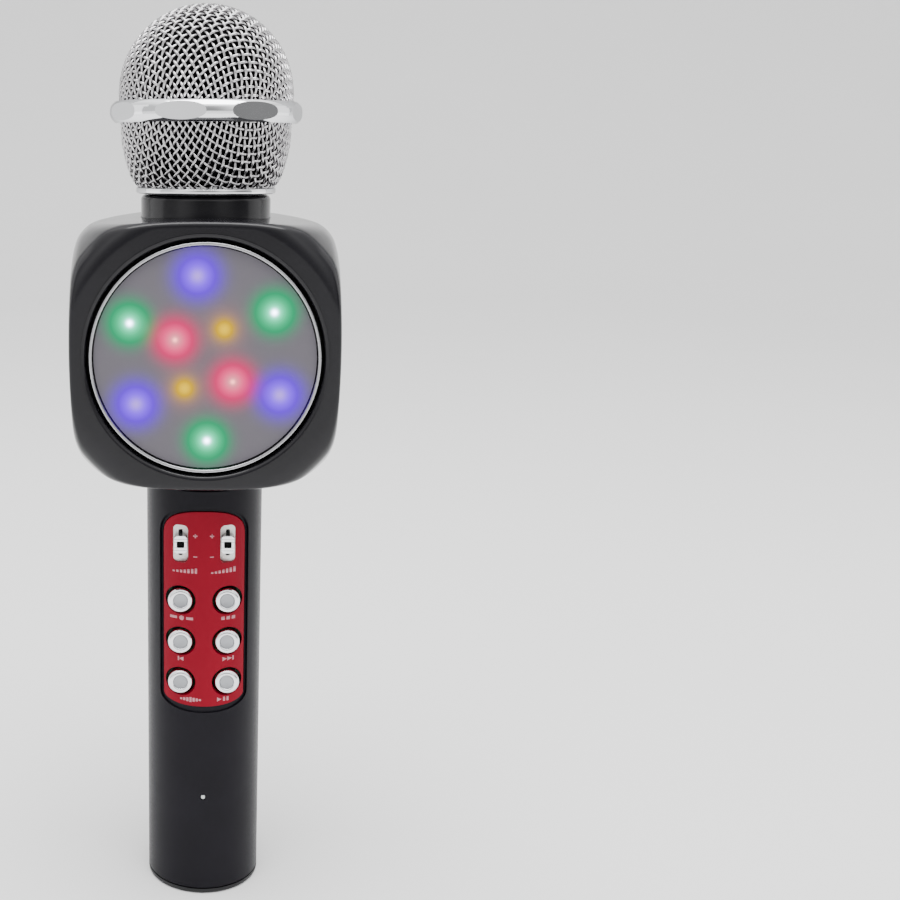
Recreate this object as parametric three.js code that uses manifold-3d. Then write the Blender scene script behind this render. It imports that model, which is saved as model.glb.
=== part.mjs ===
// Hand-held karaoke microphone with a built-in speaker box.
// Units are millimetres. +Z runs up the handle's axis from the flat end cap, and the controls face -Y.
import * as THREE from "three";
import { mergeVertices } from "three/addons/utils/BufferGeometryUtils.js";
import Module from "manifold-3d";

const wasm = await Module();
wasm.setup();

// ---- driving dimensions -------------------------------------------------------------------------
const gap = 0.3; // clearance between neighbouring pieces
const roundSegments = 28; // facets around the large turned pieces
const innerSegments = 16; // facets around the turned pieces that the case hides
const boxSegments = 40; // facets around the speaker box's round openings
const smallSegments = 12; // facets around screws, buttons and sockets

const handleRadius = 16.7;
const handleWall = 2.2;
const handleShoulder = 124.6; // where the handle meets the speaker box
const spigotRadius = 15.2; // reduced top of the handle inside the box
const spigotTop = 134;
const capRim = 1.5; // height of the end cap's visible rim
const capScrewOffset = 9.9; // the end cap's screws stand this far in front of and behind the axis
const capBossBase = 7.6;
const capBossTop = 12.4;
const portAcross = -5.6; // the charge port's centre along X
const jackAcross = 6.2; // the audio jack's centre along X
const indicatorHeight = 31.6;

const panelHalfWidth = 11.5;
const panelBottom = 60.3;
const panelTop = 118.6;
const panelWall = 1.7;
const panelTopArch = 7.7;
const panelBottomArch = 3.2;
const panelRecess = 0.6; // depth of the shallow border around the panel
const panelBorder = 1.1; // width of that border
const panelChin = 0.9; // how much wider the border is below the panel
const controlColumn = 6.65; // controls stand this far left and right of the middle
const buttonHeights = [92.3, 79.9, 67.6];
const buttonRadius = 3.6;
const buttonHoleRadius = 4.3;
const buttonFace = -16.4;
const slotHeight = 109;
const slotLength = 11;
const slotWidth = 4.2;
const slotCorner = 1.4;
const cutFront = -20; // cutters for the controls start in front of the handle
const cutBack = -5; // and end behind the panel
const knobLength = 5;
const knobWidth = 3.6;
const knobFront = -16.4;
const batteryOffset = 4.6; // the battery stands behind the button board

const boxHeight = 164.5; // height of the speaker box's centre
const boxHalfWidth = 37.1; // half way through the box
const boxHalfTall = 34.9;
const boxHalfDepth = 36;
const sideTaper = 2.1; // how much closer the two sides stand at the faces
const boxCorner = 4;
const boxBulge = 240; // radius of the slight outward bow of the four sides
const boxWall = 2.5;
const boxFaceWall = 5.2;
const drumEdgeRadius = 39.7; // the turned outline at the front and rear faces
const drumMiddleRadius = 46.3; // and half way through the box
const faceFillet = 1.8;
const openingRadius = 30.7;
const openingDepth = 3.2;
const ledgeRadius = 26.8;
const trimOuter = 29.9;
const trimInner = 29;
const partingGap = 0.12; // half of the seam between the two shells
const throatRadius = 15.5;
const throatLip = 17;
const throatFlare = 23;

const neckRadius = 17.9;
const neckBottom = 198.5;
const neckTop = 205;
const neckBore = 14.6;
const threadRadius = 15.6;
const threadTop = 212;
const ringRadius = 19.2;
const ringTop = 206.9;
const bandRadius = 26.2;
const bandBottom = 223.9;
const bandTop = 229.5;
const bandFlat = 25.2; // distance of the band's flats from the axis
const bandFlats = 8;
const bandFlatPhase = -15; // degrees from +X of one flat's middle
const domeRadius = 24.2;
const domeCentre = 231.3;
const meshWall = 0.7;

const screwSpread = [25.8, 24]; // the shell screws' distance from the box centre along X and Z
const ledOuterRadius = 21.4;
const ledInnerRadius = 9.2;
const ledOuterPhase = 34.5;
const ledInnerPhase = 55;

// ---- finishes -----------------------------------------------------------------------------------
const finish = {
  glossBlack: { color: 0x151517, roughness: 0.16, metalness: 0 },
  satinBlack: { color: 0x26262a, roughness: 0.42, metalness: 0 },
  red: { color: 0x9c1526, roughness: 0.38, metalness: 0.1 },
  chrome: { color: 0xdfe1e4, roughness: 0.08, metalness: 1 },
  steel: { color: 0xb4b6ba, roughness: 0.32, metalness: 1 },
  brass: { color: 0xc9a24a, roughness: 0.3, metalness: 1 },
  smokedPanel: { color: 0x86848a, roughness: 0.35, metalness: 0.1 },
  board: { color: 0x14532d, roughness: 0.5, metalness: 0 },
  darkPlastic: { color: 0x19191b, roughness: 0.55, metalness: 0 },
  foam: { color: 0x1b1b1d, roughness: 0.95, metalness: 0 },
  paper: { color: 0x2d2c2b, roughness: 0.85, metalness: 0 },
  rubber: { color: 0x111112, roughness: 0.8, metalness: 0 },
  cellWrap: { color: 0x2a5ea8, roughness: 0.35, metalness: 0 },
  lens: { color: 0xe8efe8, roughness: 0.2, metalness: 0 },
};

const microphone = new THREE.Group();

// ---- geometry helpers ---------------------------------------------------------------------------
const radians = (degrees) => (degrees * Math.PI) / 180;

/** Merge shared vertices, drop collapsed triangles and turn the faces outwards. */
function closed(geometry) {
  const bare = new THREE.BufferGeometry();
  bare.setAttribute("position", geometry.getAttribute("position").clone());
  if (geometry.index) bare.setIndex(Array.from(geometry.index.array));
  const merged = mergeVertices(bare, 1e-4);
  const position = merged.getAttribute("position");
  const source = merged.index.array;
  const triangles = [];
  for (let i = 0; i < source.length; i += 3) {
    const [a, b, c] = [source[i], source[i + 1], source[i + 2]];
    if (a !== b && b !== c && c !== a) triangles.push([a, b, c]);
  }
  const point = (index) => new THREE.Vector3().fromBufferAttribute(position, index);
  const volume = triangles.reduce((sum, [a, b, c]) => sum + point(a).dot(point(b).cross(point(c))), 0);
  const ordered = volume < 0 ? triangles.map(([a, b, c]) => [a, c, b]) : triangles;
  merged.setIndex(ordered.flat());
  return merged;
}

function toSolid(geometry) {
  const mesh = closed(geometry);
  const vertProperties = new Float32Array(mesh.getAttribute("position").array);
  const triVerts = new Uint32Array(mesh.index.array);
  return new wasm.Manifold(new wasm.Mesh({ numProp: 3, vertProperties, triVerts }));
}

function toGeometry(solid) {
  const mesh = solid.getMesh();
  const geometry = new THREE.BufferGeometry();
  geometry.setAttribute("position", new THREE.BufferAttribute(new Float32Array(mesh.vertProperties), 3));
  geometry.setIndex(Array.from(mesh.triVerts));
  return geometry;
}

/** Join the first list of geometries and take the second list away. */
function shaped(joined, removed = []) {
  const [first, ...others] = joined.map(toSolid);
  const whole = others.reduce((sum, solid) => sum.add(solid), first);
  return toGeometry(removed.map(toSolid).reduce((rest, solid) => rest.subtract(solid), whole));
}

function common(first, second) {
  return toGeometry(toSolid(first).intersect(toSolid(second)));
}

function addPart(name, geometry, look) {
  const part = new THREE.Mesh(closed(geometry), new THREE.MeshStandardMaterial(look));
  part.name = name;
  microphone.add(part);
  return part;
}

/** A turned solid about the vertical axis from [radius, height] pairs. */
function turned(profile, segments = roundSegments) {
  const points = profile.map(([radius, height]) => new THREE.Vector2(radius, height));
  return new THREE.LatheGeometry(points, segments).rotateX(Math.PI / 2);
}

/** A turned solid about a line along Y through (x, z) from [radius, y] pairs. */
function turnedAlongY(profile, x, z, segments = roundSegments) {
  const points = profile.map(([radius, y]) => new THREE.Vector2(radius, y));
  return new THREE.LatheGeometry(points, segments).translate(x, 0, z);
}

const ringProfile = (inner, outer, low, high) => [
  [inner, low],
  [outer, low],
  [outer, high],
  [inner, high],
  [inner, low],
];

const rodProfile = (radius, low, high) => [
  [0, low],
  [radius, low],
  [radius, high],
  [0, high],
];

/** An outline in X and Z, extruded along Y from front to back. */
function slab(outline, front, back) {
  const geometry = new THREE.ExtrudeGeometry(outline, { depth: back - front, bevelEnabled: false });
  return geometry.rotateX(Math.PI / 2).translate(0, back, 0);
}

function block(width, depth, height, x, y, z) {
  return new THREE.BoxGeometry(width, depth, height).translate(x, y, z);
}

function roundedRectangle(halfWidth, halfHeight, corner, x, z) {
  const outline = new THREE.Shape();
  outline.moveTo(x - halfWidth, z - halfHeight + corner);
  outline.absarc(x - halfWidth + corner, z - halfHeight + corner, corner, Math.PI, 1.5 * Math.PI);
  outline.absarc(x + halfWidth - corner, z - halfHeight + corner, corner, 1.5 * Math.PI, 2 * Math.PI);
  outline.absarc(x + halfWidth - corner, z + halfHeight - corner, corner, 0, 0.5 * Math.PI);
  outline.absarc(x - halfWidth + corner, z + halfHeight - corner, corner, 0.5 * Math.PI, Math.PI);
  outline.closePath();
  return new THREE.Shape(outline.getPoints(4));
}

// ---- handle -------------------------------------------------------------------------------------
const handleBore = handleRadius - handleWall;

/** The control panel's outline: straight sides between two arched ends, grown by a margin. */
function panelOutline(margin, bottomMargin = margin) {
  const roundness = 2.5;
  const steps = 7;
  const halfWidth = panelHalfWidth + margin;
  const topStart = panelTop - panelTopArch;
  const bottomStart = panelBottom + panelBottomArch;
  const points = [];
  const archPoint = (turn, base, rise) => {
    const across = Math.sign(Math.cos(turn)) * Math.abs(Math.cos(turn)) ** (2 / roundness);
    return new THREE.Vector2(halfWidth * across, base + rise * Math.sin(turn) ** (2 / roundness));
  };
  for (let i = 0; i <= 2 * steps; i += 1) {
    points.push(archPoint((Math.PI * i) / (2 * steps), topStart, panelTopArch + margin));
  }
  for (let i = 2 * steps; i >= 0; i -= 1) {
    points.push(archPoint((Math.PI * i) / (2 * steps), bottomStart, -(panelBottomArch + bottomMargin)));
  }
  return new THREE.Shape(points);
}

function buildHandleTube() {
  const tube = turned([
    [handleBore, capRim + gap],
    [handleRadius, capRim + gap],
    [handleRadius, handleShoulder],
    [spigotRadius, handleShoulder],
    [spigotRadius, spigotTop],
    [spigotRadius - 1.5, spigotTop],
    [spigotRadius - 1.5, handleShoulder - 2],
    [handleBore, handleShoulder - 3.5],
    [handleBore, capRim + gap],
  ]);
  const bossCentre = (capBossBase + capBossTop) / 2;
  const bosses = [-1, 1].map((side) => block(5, 5.6, capBossTop - capBossBase, 0, side * 12.2, bossCentre));
  const pilot = rodProfile(1.3, capBossBase - 3, capBossTop + 2);
  const pilots = [-1, 1].map((side) => turned(pilot, smallSegments).translate(0, side * capScrewOffset, 0));
  const window = slab(panelOutline(gap + 0.1), cutFront, -8);
  const border = common(
    slab(panelOutline(panelBorder, panelBorder + panelChin), cutFront, -8),
    turned(ringProfile(handleRadius - panelRecess, 20, panelBottom - 10, panelTop + 5)),
  );
  const indicatorHole = turnedAlongY(rodProfile(0.95, cutFront, -10), 0, indicatorHeight, smallSegments);
  return shaped([tube, ...bosses], [...pilots, window, border, indicatorHole]);
}

function buildControlPanel() {
  const section = ringProfile(handleRadius - panelWall, handleRadius, panelBottom - 2, panelTop + 2);
  const plate = common(slab(panelOutline(0), cutFront, -8), turned(section, 48));
  const hole = rodProfile(buttonHoleRadius, cutFront, cutBack);
  const holes = buttonHeights.flatMap((height) =>
    [-1, 1].map((side) => turnedAlongY(hole, side * controlColumn, height, smallSegments)),
  );
  const slots = [-1, 1].map((side) => {
    const x = side * controlColumn;
    return slab(roundedRectangle(slotWidth / 2, slotLength / 2, slotCorner, x, slotHeight), cutFront, cutBack);
  });
  return shaped([plate], [...holes, ...slots]);
}

function buildButton(side, height) {
  const profile = [
    [0, buttonFace + 0.45],
    [1.9, buttonFace + 0.45],
    [2.3, buttonFace],
    [2.9, buttonFace + 0.1],
    [buttonRadius, buttonFace + 0.8],
    [buttonRadius, -13.6],
    [1.6, -13.6],
    [1.6, -11.6],
    [0, -11.6],
  ];
  return turnedAlongY(profile, side * controlColumn, height, smallSegments);
}

function buildSliderKnob(side) {
  const x = side * controlColumn;
  const body = slab(roundedRectangle(knobWidth / 2, knobLength / 2, 0.8, x, slotHeight), knobFront, -12.7);
  const lever = block(1.2, 2.4, 1.6, x, -11.6, slotHeight);
  const notch = block(knobWidth + 1, 0.8, 1, x, knobFront, slotHeight);
  return shaped([body, lever], [notch]);
}

function buildSlidePotentiometer(side) {
  const x = side * controlColumn;
  const body = block(5, 2.8, 15, x, -9.6, slotHeight);
  const track = block(1.9, 3, 8.6, x, -11.5, slotHeight);
  return shaped([body], [track]);
}

function buildTactSwitch(side, height) {
  const x = side * controlColumn;
  const body = block(5, 1.5, 5, x, -8.65, height);
  const plunger = turnedAlongY(rodProfile(1.4, -10.6, -9), x, height, smallSegments);
  return shaped([body, plunger]);
}

function buildButtonBoard() {
  return block(23, 1.4, 57, 0, -6.9, 89.5);
}

function buildEndCap() {
  const disc = turned([
    [0, 0],
    [handleRadius - 0.8, 0],
    [handleRadius, 0.8],
    [handleRadius, capRim],
    [handleBore - gap, capRim],
    [handleBore - gap, 7],
    [handleBore - 2, 7],
    [handleBore - 2, 2.6],
    [0, 2.6],
  ]);
  const portHole = block(8.4, 3.5, 8, portAcross, 0, 2);
  const jackHole = turned(rodProfile(3.3, -1, 5), smallSegments).translate(jackAcross, 0, 0);
  const screwHoles = [-1, 1].flatMap((side) => [
    turned(rodProfile(1.35, -1, 4), smallSegments).translate(0, side * capScrewOffset, 0),
    turned(rodProfile(2.4, -1, 1.3), smallSegments).translate(0, side * capScrewOffset, 0),
  ]);
  return shaped([disc], [portHole, jackHole, ...screwHoles]);
}

function buildChargePort() {
  const shell = block(7.8, 2.9, 6.4, portAcross, 0, 3.8);
  const mouth = block(7.0, 2.1, 5.6, portAcross, 0, 3.0);
  const tongue = block(5.2, 0.6, 5.0, portAcross, 0.3, 4.2);
  return shaped([shaped([shell], [mouth]), tongue]);
}

function buildAudioJack() {
  const profile = [
    [1.8, 0.5],
    [3.0, 0.5],
    [3.0, 12.2],
    [0, 12.2],
    [0, 11.4],
    [1.8, 11.4],
    [1.8, 0.5],
  ];
  return turned(profile, smallSegments).translate(jackAcross, 0, 0);
}

/** A pan-headed screw whose head sits at the low end, pointing up. */
function buildCapScrew(y) {
  const profile = [
    [0, 0.35],
    [1.6, 0.35],
    [2.1, 0.6],
    [2.1, 1.0],
    [1.0, 1.0],
    [1.0, 11],
    [0, 11],
  ];
  const socket = block(0.5, 3.0, 0.8, 0, y, 0.35);
  return shaped([turned(profile, 16).translate(0, y, 0)], [socket]);
}

function buildIndicatorLens() {
  return turnedAlongY(rodProfile(0.62, -16.75, -13.5), 0, indicatorHeight, smallSegments);
}

function buildHandle() {
  addPart("handle_tube", buildHandleTube(), finish.satinBlack);
  addPart("control_panel", buildControlPanel(), finish.red);
  const buttonNames = [
    ["record_button", "mode_button"],
    ["previous_button", "next_button"],
    ["power_button", "play_button"],
  ];
  buttonHeights.forEach((height, row) => {
    [-1, 1].forEach((side, column) => {
      const name = buttonNames[row][column];
      addPart(name, buildButton(side, height), finish.chrome);
      addPart(name.replace("button", "switch"), buildTactSwitch(side, height), finish.darkPlastic);
    });
  });
  const sliderNames = ["voice_volume", "music_volume"];
  [-1, 1].forEach((side, column) => {
    addPart(`${sliderNames[column]}_slider`, buildSliderKnob(side), finish.chrome);
    addPart(`${sliderNames[column]}_potentiometer`, buildSlidePotentiometer(side), finish.steel);
  });
  addPart("button_board", buildButtonBoard(), finish.board);
  const cell = turned(rodProfile(9.1, 18, 83), 32).translate(0, batteryOffset, 0);
  const contact = turned(rodProfile(6.5, 83.4, 84.6), 24).translate(0, batteryOffset, 0);
  addPart("battery_cell", cell, finish.cellWrap);
  addPart("battery_contact", contact, finish.brass);
  addPart("port_board", turned(rodProfile(12.5, 13, 14.6), 24), finish.board);
  addPart("end_cap", buildEndCap(), finish.darkPlastic);
  addPart("charge_port", buildChargePort(), finish.steel);
  addPart("audio_jack", buildAudioJack(), finish.darkPlastic);
  addPart("end_cap_screw_front", buildCapScrew(-capScrewOffset), finish.steel);
  addPart("end_cap_screw_rear", buildCapScrew(capScrewOffset), finish.steel);
  addPart("indicator_lens", buildIndicatorLens(), finish.lens);
}

// ---- speaker box --------------------------------------------------------------------------------

/** The box's section: a rounded rectangle whose sides bow out slightly, shrunk by an inset. */
function boxOutline(inset) {
  const halfWidth = boxHalfWidth - inset;
  const halfTall = boxHalfTall - inset;
  const corner = Math.max(boxCorner - inset, 2);
  const sideSteps = 4;
  const cornerSteps = 3;
  const points = [];
  const quarter = (turn) => {
    const along = turn % 2 === 0 ? halfTall - corner : halfWidth - corner;
    const reach = turn % 2 === 0 ? halfWidth : halfTall;
    const bow = (t) => boxBulge - Math.sqrt(boxBulge ** 2 - t ** 2);
    const drop = bow(along);
    const spin = radians(90 * turn);
    const place = (out, up) => {
      const point = new THREE.Vector2(out, up).rotateAround(new THREE.Vector2(), spin);
      points.push(point.add(new THREE.Vector2(0, boxHeight)));
    };
    for (let i = 0; i <= sideSteps; i += 1) {
      const t = -along + (2 * along * i) / sideSteps;
      place(reach - bow(t), t);
    }
    const nextReach = turn % 2 === 0 ? halfTall : halfWidth;
    const nextDrop = bow(reach - corner);
    const acrossRadius = corner - drop;
    const upRadius = nextReach - nextDrop - along;
    for (let i = 1; i < cornerSteps; i += 1) {
      const a = radians((90 * i) / cornerSteps);
      place(reach - corner + acrossRadius * Math.cos(a), along + upRadius * Math.sin(a));
    }
  };
  [0, 1, 2, 3].forEach(quarter);
  return new THREE.Shape(points);
}

/** The turned body that rounds off the box's corners towards its two faces. */
function boxDrum(inset, halfDepth, fillet) {
  const squeeze = (drumMiddleRadius ** 2 - drumEdgeRadius ** 2) / boxHalfDepth ** 2;
  const radiusAt = (y) => Math.sqrt(drumMiddleRadius ** 2 - squeeze * y ** 2) - inset;
  const steps = 6;
  const flank = [];
  const reach = halfDepth - fillet;
  for (let i = 0; i <= steps; i += 1) {
    const y = -reach + (2 * reach * i) / steps;
    flank.push([radiusAt(y), y]);
  }
  const edge = radiusAt(halfDepth) - fillet;
  const profile = [[0, -halfDepth], [edge, -halfDepth], ...flank, [edge, halfDepth], [0, halfDepth]];
  return turnedAlongY(profile, 0, boxHeight, 36);
}

/** A body with the box's outline from above, whose sides close in towards the two faces. */
function boxPlan(inset, halfDepth, fillet) {
  const halfWidthAt = (y) => boxHalfWidth - sideTaper * (y / boxHalfDepth) ** 2 - inset;
  const steps = 6;
  const reach = halfDepth - fillet;
  const flank = Array.from({ length: steps + 1 }, (_, i) => -reach + (2 * reach * i) / steps);
  const corner = halfWidthAt(halfDepth) - fillet;
  const right = [[corner, -halfDepth], ...flank.map((y) => [halfWidthAt(y), y]), [corner, halfDepth]];
  const left = right.map(([x, y]) => [-x, y]).reverse();
  const outline = new THREE.Shape([...right, ...left].map(([x, y]) => new THREE.Vector2(x, y)));
  const depth = 3 * boxHalfTall;
  const body = new THREE.ExtrudeGeometry(outline, { depth, bevelEnabled: false });
  return body.translate(0, 0, boxHeight - depth / 2);
}

/** A turned solid about the box's depth axis, at its front (side -1) or its rear (side 1). */
function turnedOnFace(profile, side) {
  return turnedAlongY(profile.map(([radius, y]) => [radius, side * y]), 0, boxHeight, boxSegments);
}

function buildBoxBody() {
  const depth = 2 * (boxHalfDepth - faceFillet);
  const options = {
    depth,
    steps: 1,
    bevelThickness: faceFillet,
    bevelSize: faceFillet,
    bevelOffset: -faceFillet,
    bevelSegments: 2,
  };
  const prism = new THREE.ExtrudeGeometry(boxOutline(0), options)
    .rotateX(Math.PI / 2)
    .translate(0, depth / 2, 0);
  const outerFillet = 1.2;
  const innerFillet = 0.5;
  const square = common(prism, boxPlan(0, boxHalfDepth, outerFillet));
  const outer = common(square, boxDrum(0, boxHalfDepth, outerFillet));
  const innerHalfDepth = boxHalfDepth - boxFaceWall;
  const hollow = common(
    slab(boxOutline(boxWall), -innerHalfDepth, innerHalfDepth),
    boxPlan(boxWall, innerHalfDepth, innerFillet),
  );
  const inner = common(hollow, boxDrum(boxWall, innerHalfDepth, innerFillet));
  const throat = turned([
    [throatRadius - 1, 124.9],
    [throatLip, 124.9],
    [throatLip + 0.4, 126],
    [18.6, 127.6],
    [20.6, 129],
    [throatFlare, 130.2],
    [throatFlare, 132],
    [throatRadius - 1, 132],
    [throatRadius - 1, 124.9],
  ]);
  const openings = [-1, 1].flatMap((side) => [
    turnedOnFace(rodProfile(openingRadius, boxHalfDepth - openingDepth, boxHalfDepth + 4), side),
    turnedOnFace(rodProfile(ledgeRadius, boxHalfDepth - 11, boxHalfDepth + 4), side),
  ]);
  const neckHoles = [
    turned(rodProfile(16.2, 190, 210)),
    turned(rodProfile(neckRadius + gap, neckBottom - gap, 210)),
  ];
  const throatHole = turned(rodProfile(throatRadius, 120, 140));
  return shaped([shaped([outer], [inner]), throat], [...openings, ...neckHoles, throatHole]);
}

const screwPlaces = [
  ["upper_left", -1, 1],
  ["upper_right", 1, 1],
  ["lower_left", -1, -1],
  ["lower_right", 1, -1],
];
const screwSeat = 6; // depth plane on which the shell screws' heads bear

function buildShells() {
  const body = buildBoxBody();
  const half = (side) => block(100, 50, 200, 0, side * (25 + partingGap), boxHeight);
  const at = (profile) =>
    screwPlaces.map(([, x, z]) =>
      turnedAlongY(profile, x * screwSpread[0], boxHeight + z * screwSpread[1], innerSegments),
    );
  const bossEnd = boxHalfDepth - boxFaceWall + 0.5;
  const front = shaped(
    [common(body, half(-1)), ...at(rodProfile(2.8, -bossEnd, -partingGap))],
    at(rodProfile(1.45, -12, 1)),
  );
  const rear = shaped(
    [common(body, half(1)), ...at(rodProfile(3.5, partingGap, bossEnd))],
    [...at(rodProfile(1.5, -1, 10)), ...at(rodProfile(2.5, screwSeat, 40))],
  );
  addPart("front_shell", front, finish.glossBlack);
  addPart("rear_shell", rear, finish.glossBlack);
}

function buildShellScrew(x, z) {
  const profile = [
    [0, -11],
    [1.15, -11],
    [1.15, screwSeat + gap],
    [2.2, screwSeat + gap],
    [2.2, screwSeat + 1.7],
    [1.7, screwSeat + 2.1],
    [0, screwSeat + 2.1],
  ];
  const centre = [x * screwSpread[0], boxHeight + z * screwSpread[1]];
  const slots = [
    block(2.8, 1.2, 0.6, centre[0], screwSeat + 2.1, centre[1]),
    block(0.6, 1.2, 2.8, centre[0], screwSeat + 2.1, centre[1]),
  ];
  return shaped([turnedAlongY(profile, ...centre, 16)], slots);
}

function buildTrimRing(side) {
  const face = boxHalfDepth - 0.2;
  const profile = [
    [trimInner, boxHalfDepth - openingDepth + gap],
    [trimOuter, boxHalfDepth - openingDepth + gap],
    [trimOuter, face - 0.4],
    [trimOuter - 0.35, face],
    [trimInner + 0.3, face],
    [trimInner, face - 0.4],
    [trimInner, boxHalfDepth - openingDepth + gap],
  ];
  return turnedOnFace(profile, side);
}

function buildFacePanel(side) {
  const back = boxHalfDepth - openingDepth + gap;
  return turnedOnFace(rodProfile(trimInner - gap, back, back + 1.5), side);
}

function ledPlaces() {
  const ring = (count, radius, phase) =>
    Array.from({ length: count }, (_, i) => {
      const turn = radians(phase + (360 * i) / count);
      return [radius * Math.cos(turn), boxHeight + radius * Math.sin(turn)];
    });
  return [...ring(6, ledOuterRadius, ledOuterPhase), ...ring(4, ledInnerRadius, ledInnerPhase)];
}

/** The lamp board carries ten surface-mounted lamps on its front. */
function buildLightBoard() {
  const board = turnedAlongY(rodProfile(26, -30.3, -28.8), 0, boxHeight, innerSegments);
  const lamps = ledPlaces().map(([x, z]) => block(3.5, 1.7, 3.5, x, -31, z));
  return shaped([board, ...lamps]);
}

/** A five-pole shape: a steel basket that funnels from the mounting flange to the magnet. */
function buildSpeakerBasket() {
  const profile = [
    [14.4, 14.9],
    [15.6, 14.9],
    [25.2, 27.6],
    [29.4, 27.6],
    [29.4, 30.4],
    [25.6, 30.4],
    [25.6, 29],
    [24.4, 28.4],
    [14.4, 16],
    [14.4, 14.9],
  ];
  return turnedAlongY(profile, 0, boxHeight, innerSegments);
}

function buildSpeaker() {
  const magnet = [
    [0, 4],
    [13.8, 4],
    [13.8, 15.2],
    [7.8, 15.2],
    [7.8, 7],
    [6.2, 7],
    [6.2, 15.2],
    [0, 15.2],
  ];
  const cone = [
    [6.6, 19.4],
    [7.6, 19.0],
    [21.6, 27.3],
    [22.2, 27.3],
    [22.2, 28],
    [21.4, 28],
    [7.6, 19.9],
    [6.6, 19.9],
    [6.6, 19.4],
  ];
  const surround = [
    [22.6, 27.4],
    [25.1, 28.95],
    [25.2, 29.6],
    [24.7, 30.6],
    [23.9, 31],
    [23.1, 30.5],
    [22.6, 29.6],
    [22.6, 27.4],
  ];
  const dustCap = [
    [0, 22.6],
    [3.2, 22.1],
    [5.8, 21],
    [7.2, 20.3],
    [6.4, 20.3],
    [3, 21.6],
    [0, 22],
  ];
  addPart("speaker_basket", buildSpeakerBasket(), finish.steel);
  addPart("speaker_magnet", turnedAlongY(magnet, 0, boxHeight, innerSegments), finish.darkPlastic);
  addPart("speaker_surround", turnedAlongY(surround, 0, boxHeight, innerSegments), finish.rubber);
  addPart("speaker_cone", turnedAlongY(cone, 0, boxHeight, innerSegments), finish.paper);
  addPart("speaker_dust_cap", turnedAlongY(dustCap, 0, boxHeight, innerSegments), finish.paper);
  const coil = ringProfile(6.6, 7.4, 9, 18.6);
  addPart("voice_coil", turnedAlongY(coil, 0, boxHeight, innerSegments), finish.brass);
}

function buildSpeakerBox() {
  buildShells();
  screwPlaces.forEach(([name, x, z]) => addPart(`shell_screw_${name}`, buildShellScrew(x, z), finish.steel));
  addPart("front_trim_ring", buildTrimRing(-1), finish.chrome);
  addPart("rear_trim_ring", buildTrimRing(1), finish.chrome);
  addPart("front_light_panel", buildFacePanel(-1), finish.smokedPanel);
  addPart("rear_speaker_grille", buildFacePanel(1), finish.steel);
  addPart("light_board", buildLightBoard(), finish.board);
  buildSpeaker();
  const chips = [
    block(9, 1.6, 9, -6, -21.1, boxHeight + 4),
    block(6, 1.4, 12, 12, -21, boxHeight - 4),
    turnedAlongY(rodProfile(3, -26, -20.2), -14, boxHeight - 12, 16),
  ];
  addPart("amplifier_board", shaped([block(46, 1.6, 40, 0, -19.6, boxHeight), ...chips]), finish.board);
}

// ---- neck and windscreen ------------------------------------------------------------------------

function buildNeckCollar() {
  return turned([
    [neckBore, 195],
    [neckRadius - 2, 195],
    [neckRadius - 2, neckBottom],
    [neckRadius, neckBottom],
    [neckRadius, neckTop - 1],
    [neckRadius - 0.3, neckTop - 0.3],
    [neckRadius - 1, neckTop],
    [neckBore, neckTop],
    [neckBore, 195],
  ]);
}

function buildBand() {
  const crown = [
    [23, bandBottom],
    [bandRadius - 1.5, bandBottom],
    [bandRadius - 0.4, bandBottom + 1.3],
    [bandRadius, (bandBottom + bandTop) / 2],
    [bandRadius - 0.4, bandTop - 1.3],
    [bandRadius - 1.5, bandTop],
    [23, bandTop],
    [23, bandBottom],
  ];
  const corner = bandFlat / Math.cos(Math.PI / bandFlats);
  const outline = new THREE.Shape(
    Array.from({ length: bandFlats }, (_, i) => {
      const turn = radians(bandFlatPhase) + ((i + 0.5) * 2 * Math.PI) / bandFlats;
      return new THREE.Vector2(corner * Math.cos(turn), corner * Math.sin(turn));
    }),
  );
  const prism = new THREE.ExtrudeGeometry(outline, { depth: 20, bevelEnabled: false }).translate(0, 0, 217);
  return common(turned(crown, 40), prism);
}

/** The upper mesh half: a ball cap with a short straight skirt down to the band. */
function domeProfile(inset, steps) {
  const radius = domeRadius - inset;
  const points = [];
  for (let i = 0; i <= steps; i += 1) {
    const turn = radians(90 - (90 * i) / steps);
    points.push([i === 0 ? 0 : radius * Math.cos(turn), domeCentre + radius * Math.sin(turn)]);
  }
  points.push([radius - 0.2, bandTop + gap]);
  return points;
}

function buildDome() {
  const steps = 8;
  const outer = domeProfile(0, steps);
  const inner = domeProfile(meshWall, steps).reverse();
  return turned([...outer, ...inner]);
}

/** Radius and height of the lower mesh half, from the base ring up to the band. */
const basketLine = [
  [19.1, 207.2],
  [20.4, 208.6],
  [21.4, 210.4],
  [22.2, 212.8],
  [22.9, 215.4],
  [23.45, 218],
  [23.7, 220.8],
  [23.75, bandBottom - gap],
];

function buildBasket() {
  const inner = basketLine.map(([radius, height]) => [radius - meshWall, height]).reverse();
  return turned([...basketLine, ...inner, basketLine[0]]);
}

function buildBaseRing() {
  return turned([
    [threadRadius + gap, neckTop + gap],
    [ringRadius - 0.6, neckTop + gap],
    [ringRadius, neckTop + 0.9],
    [ringRadius, ringTop - 0.3],
    [ringRadius - 0.4, ringTop],
    [17.4, ringTop],
    [17.4, threadTop],
    [threadRadius + gap, threadTop],
    [threadRadius + gap, neckTop + gap],
  ]);
}

function buildFoam() {
  const steps = 5;
  const outer = domeProfile(meshWall + 1.0, steps);
  const inner = domeProfile(meshWall + 4.2, steps).reverse();
  const outerLow = [
    [22.2, 224],
    [21.6, 218],
    [20.2, 212.6],
  ];
  const innerLow = [
    [18.1, 212.6],
    [18.6, 218],
    [19, 224],
  ];
  return turned([...outer, ...outerLow, ...innerLow, ...inner], innerSegments);
}

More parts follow.
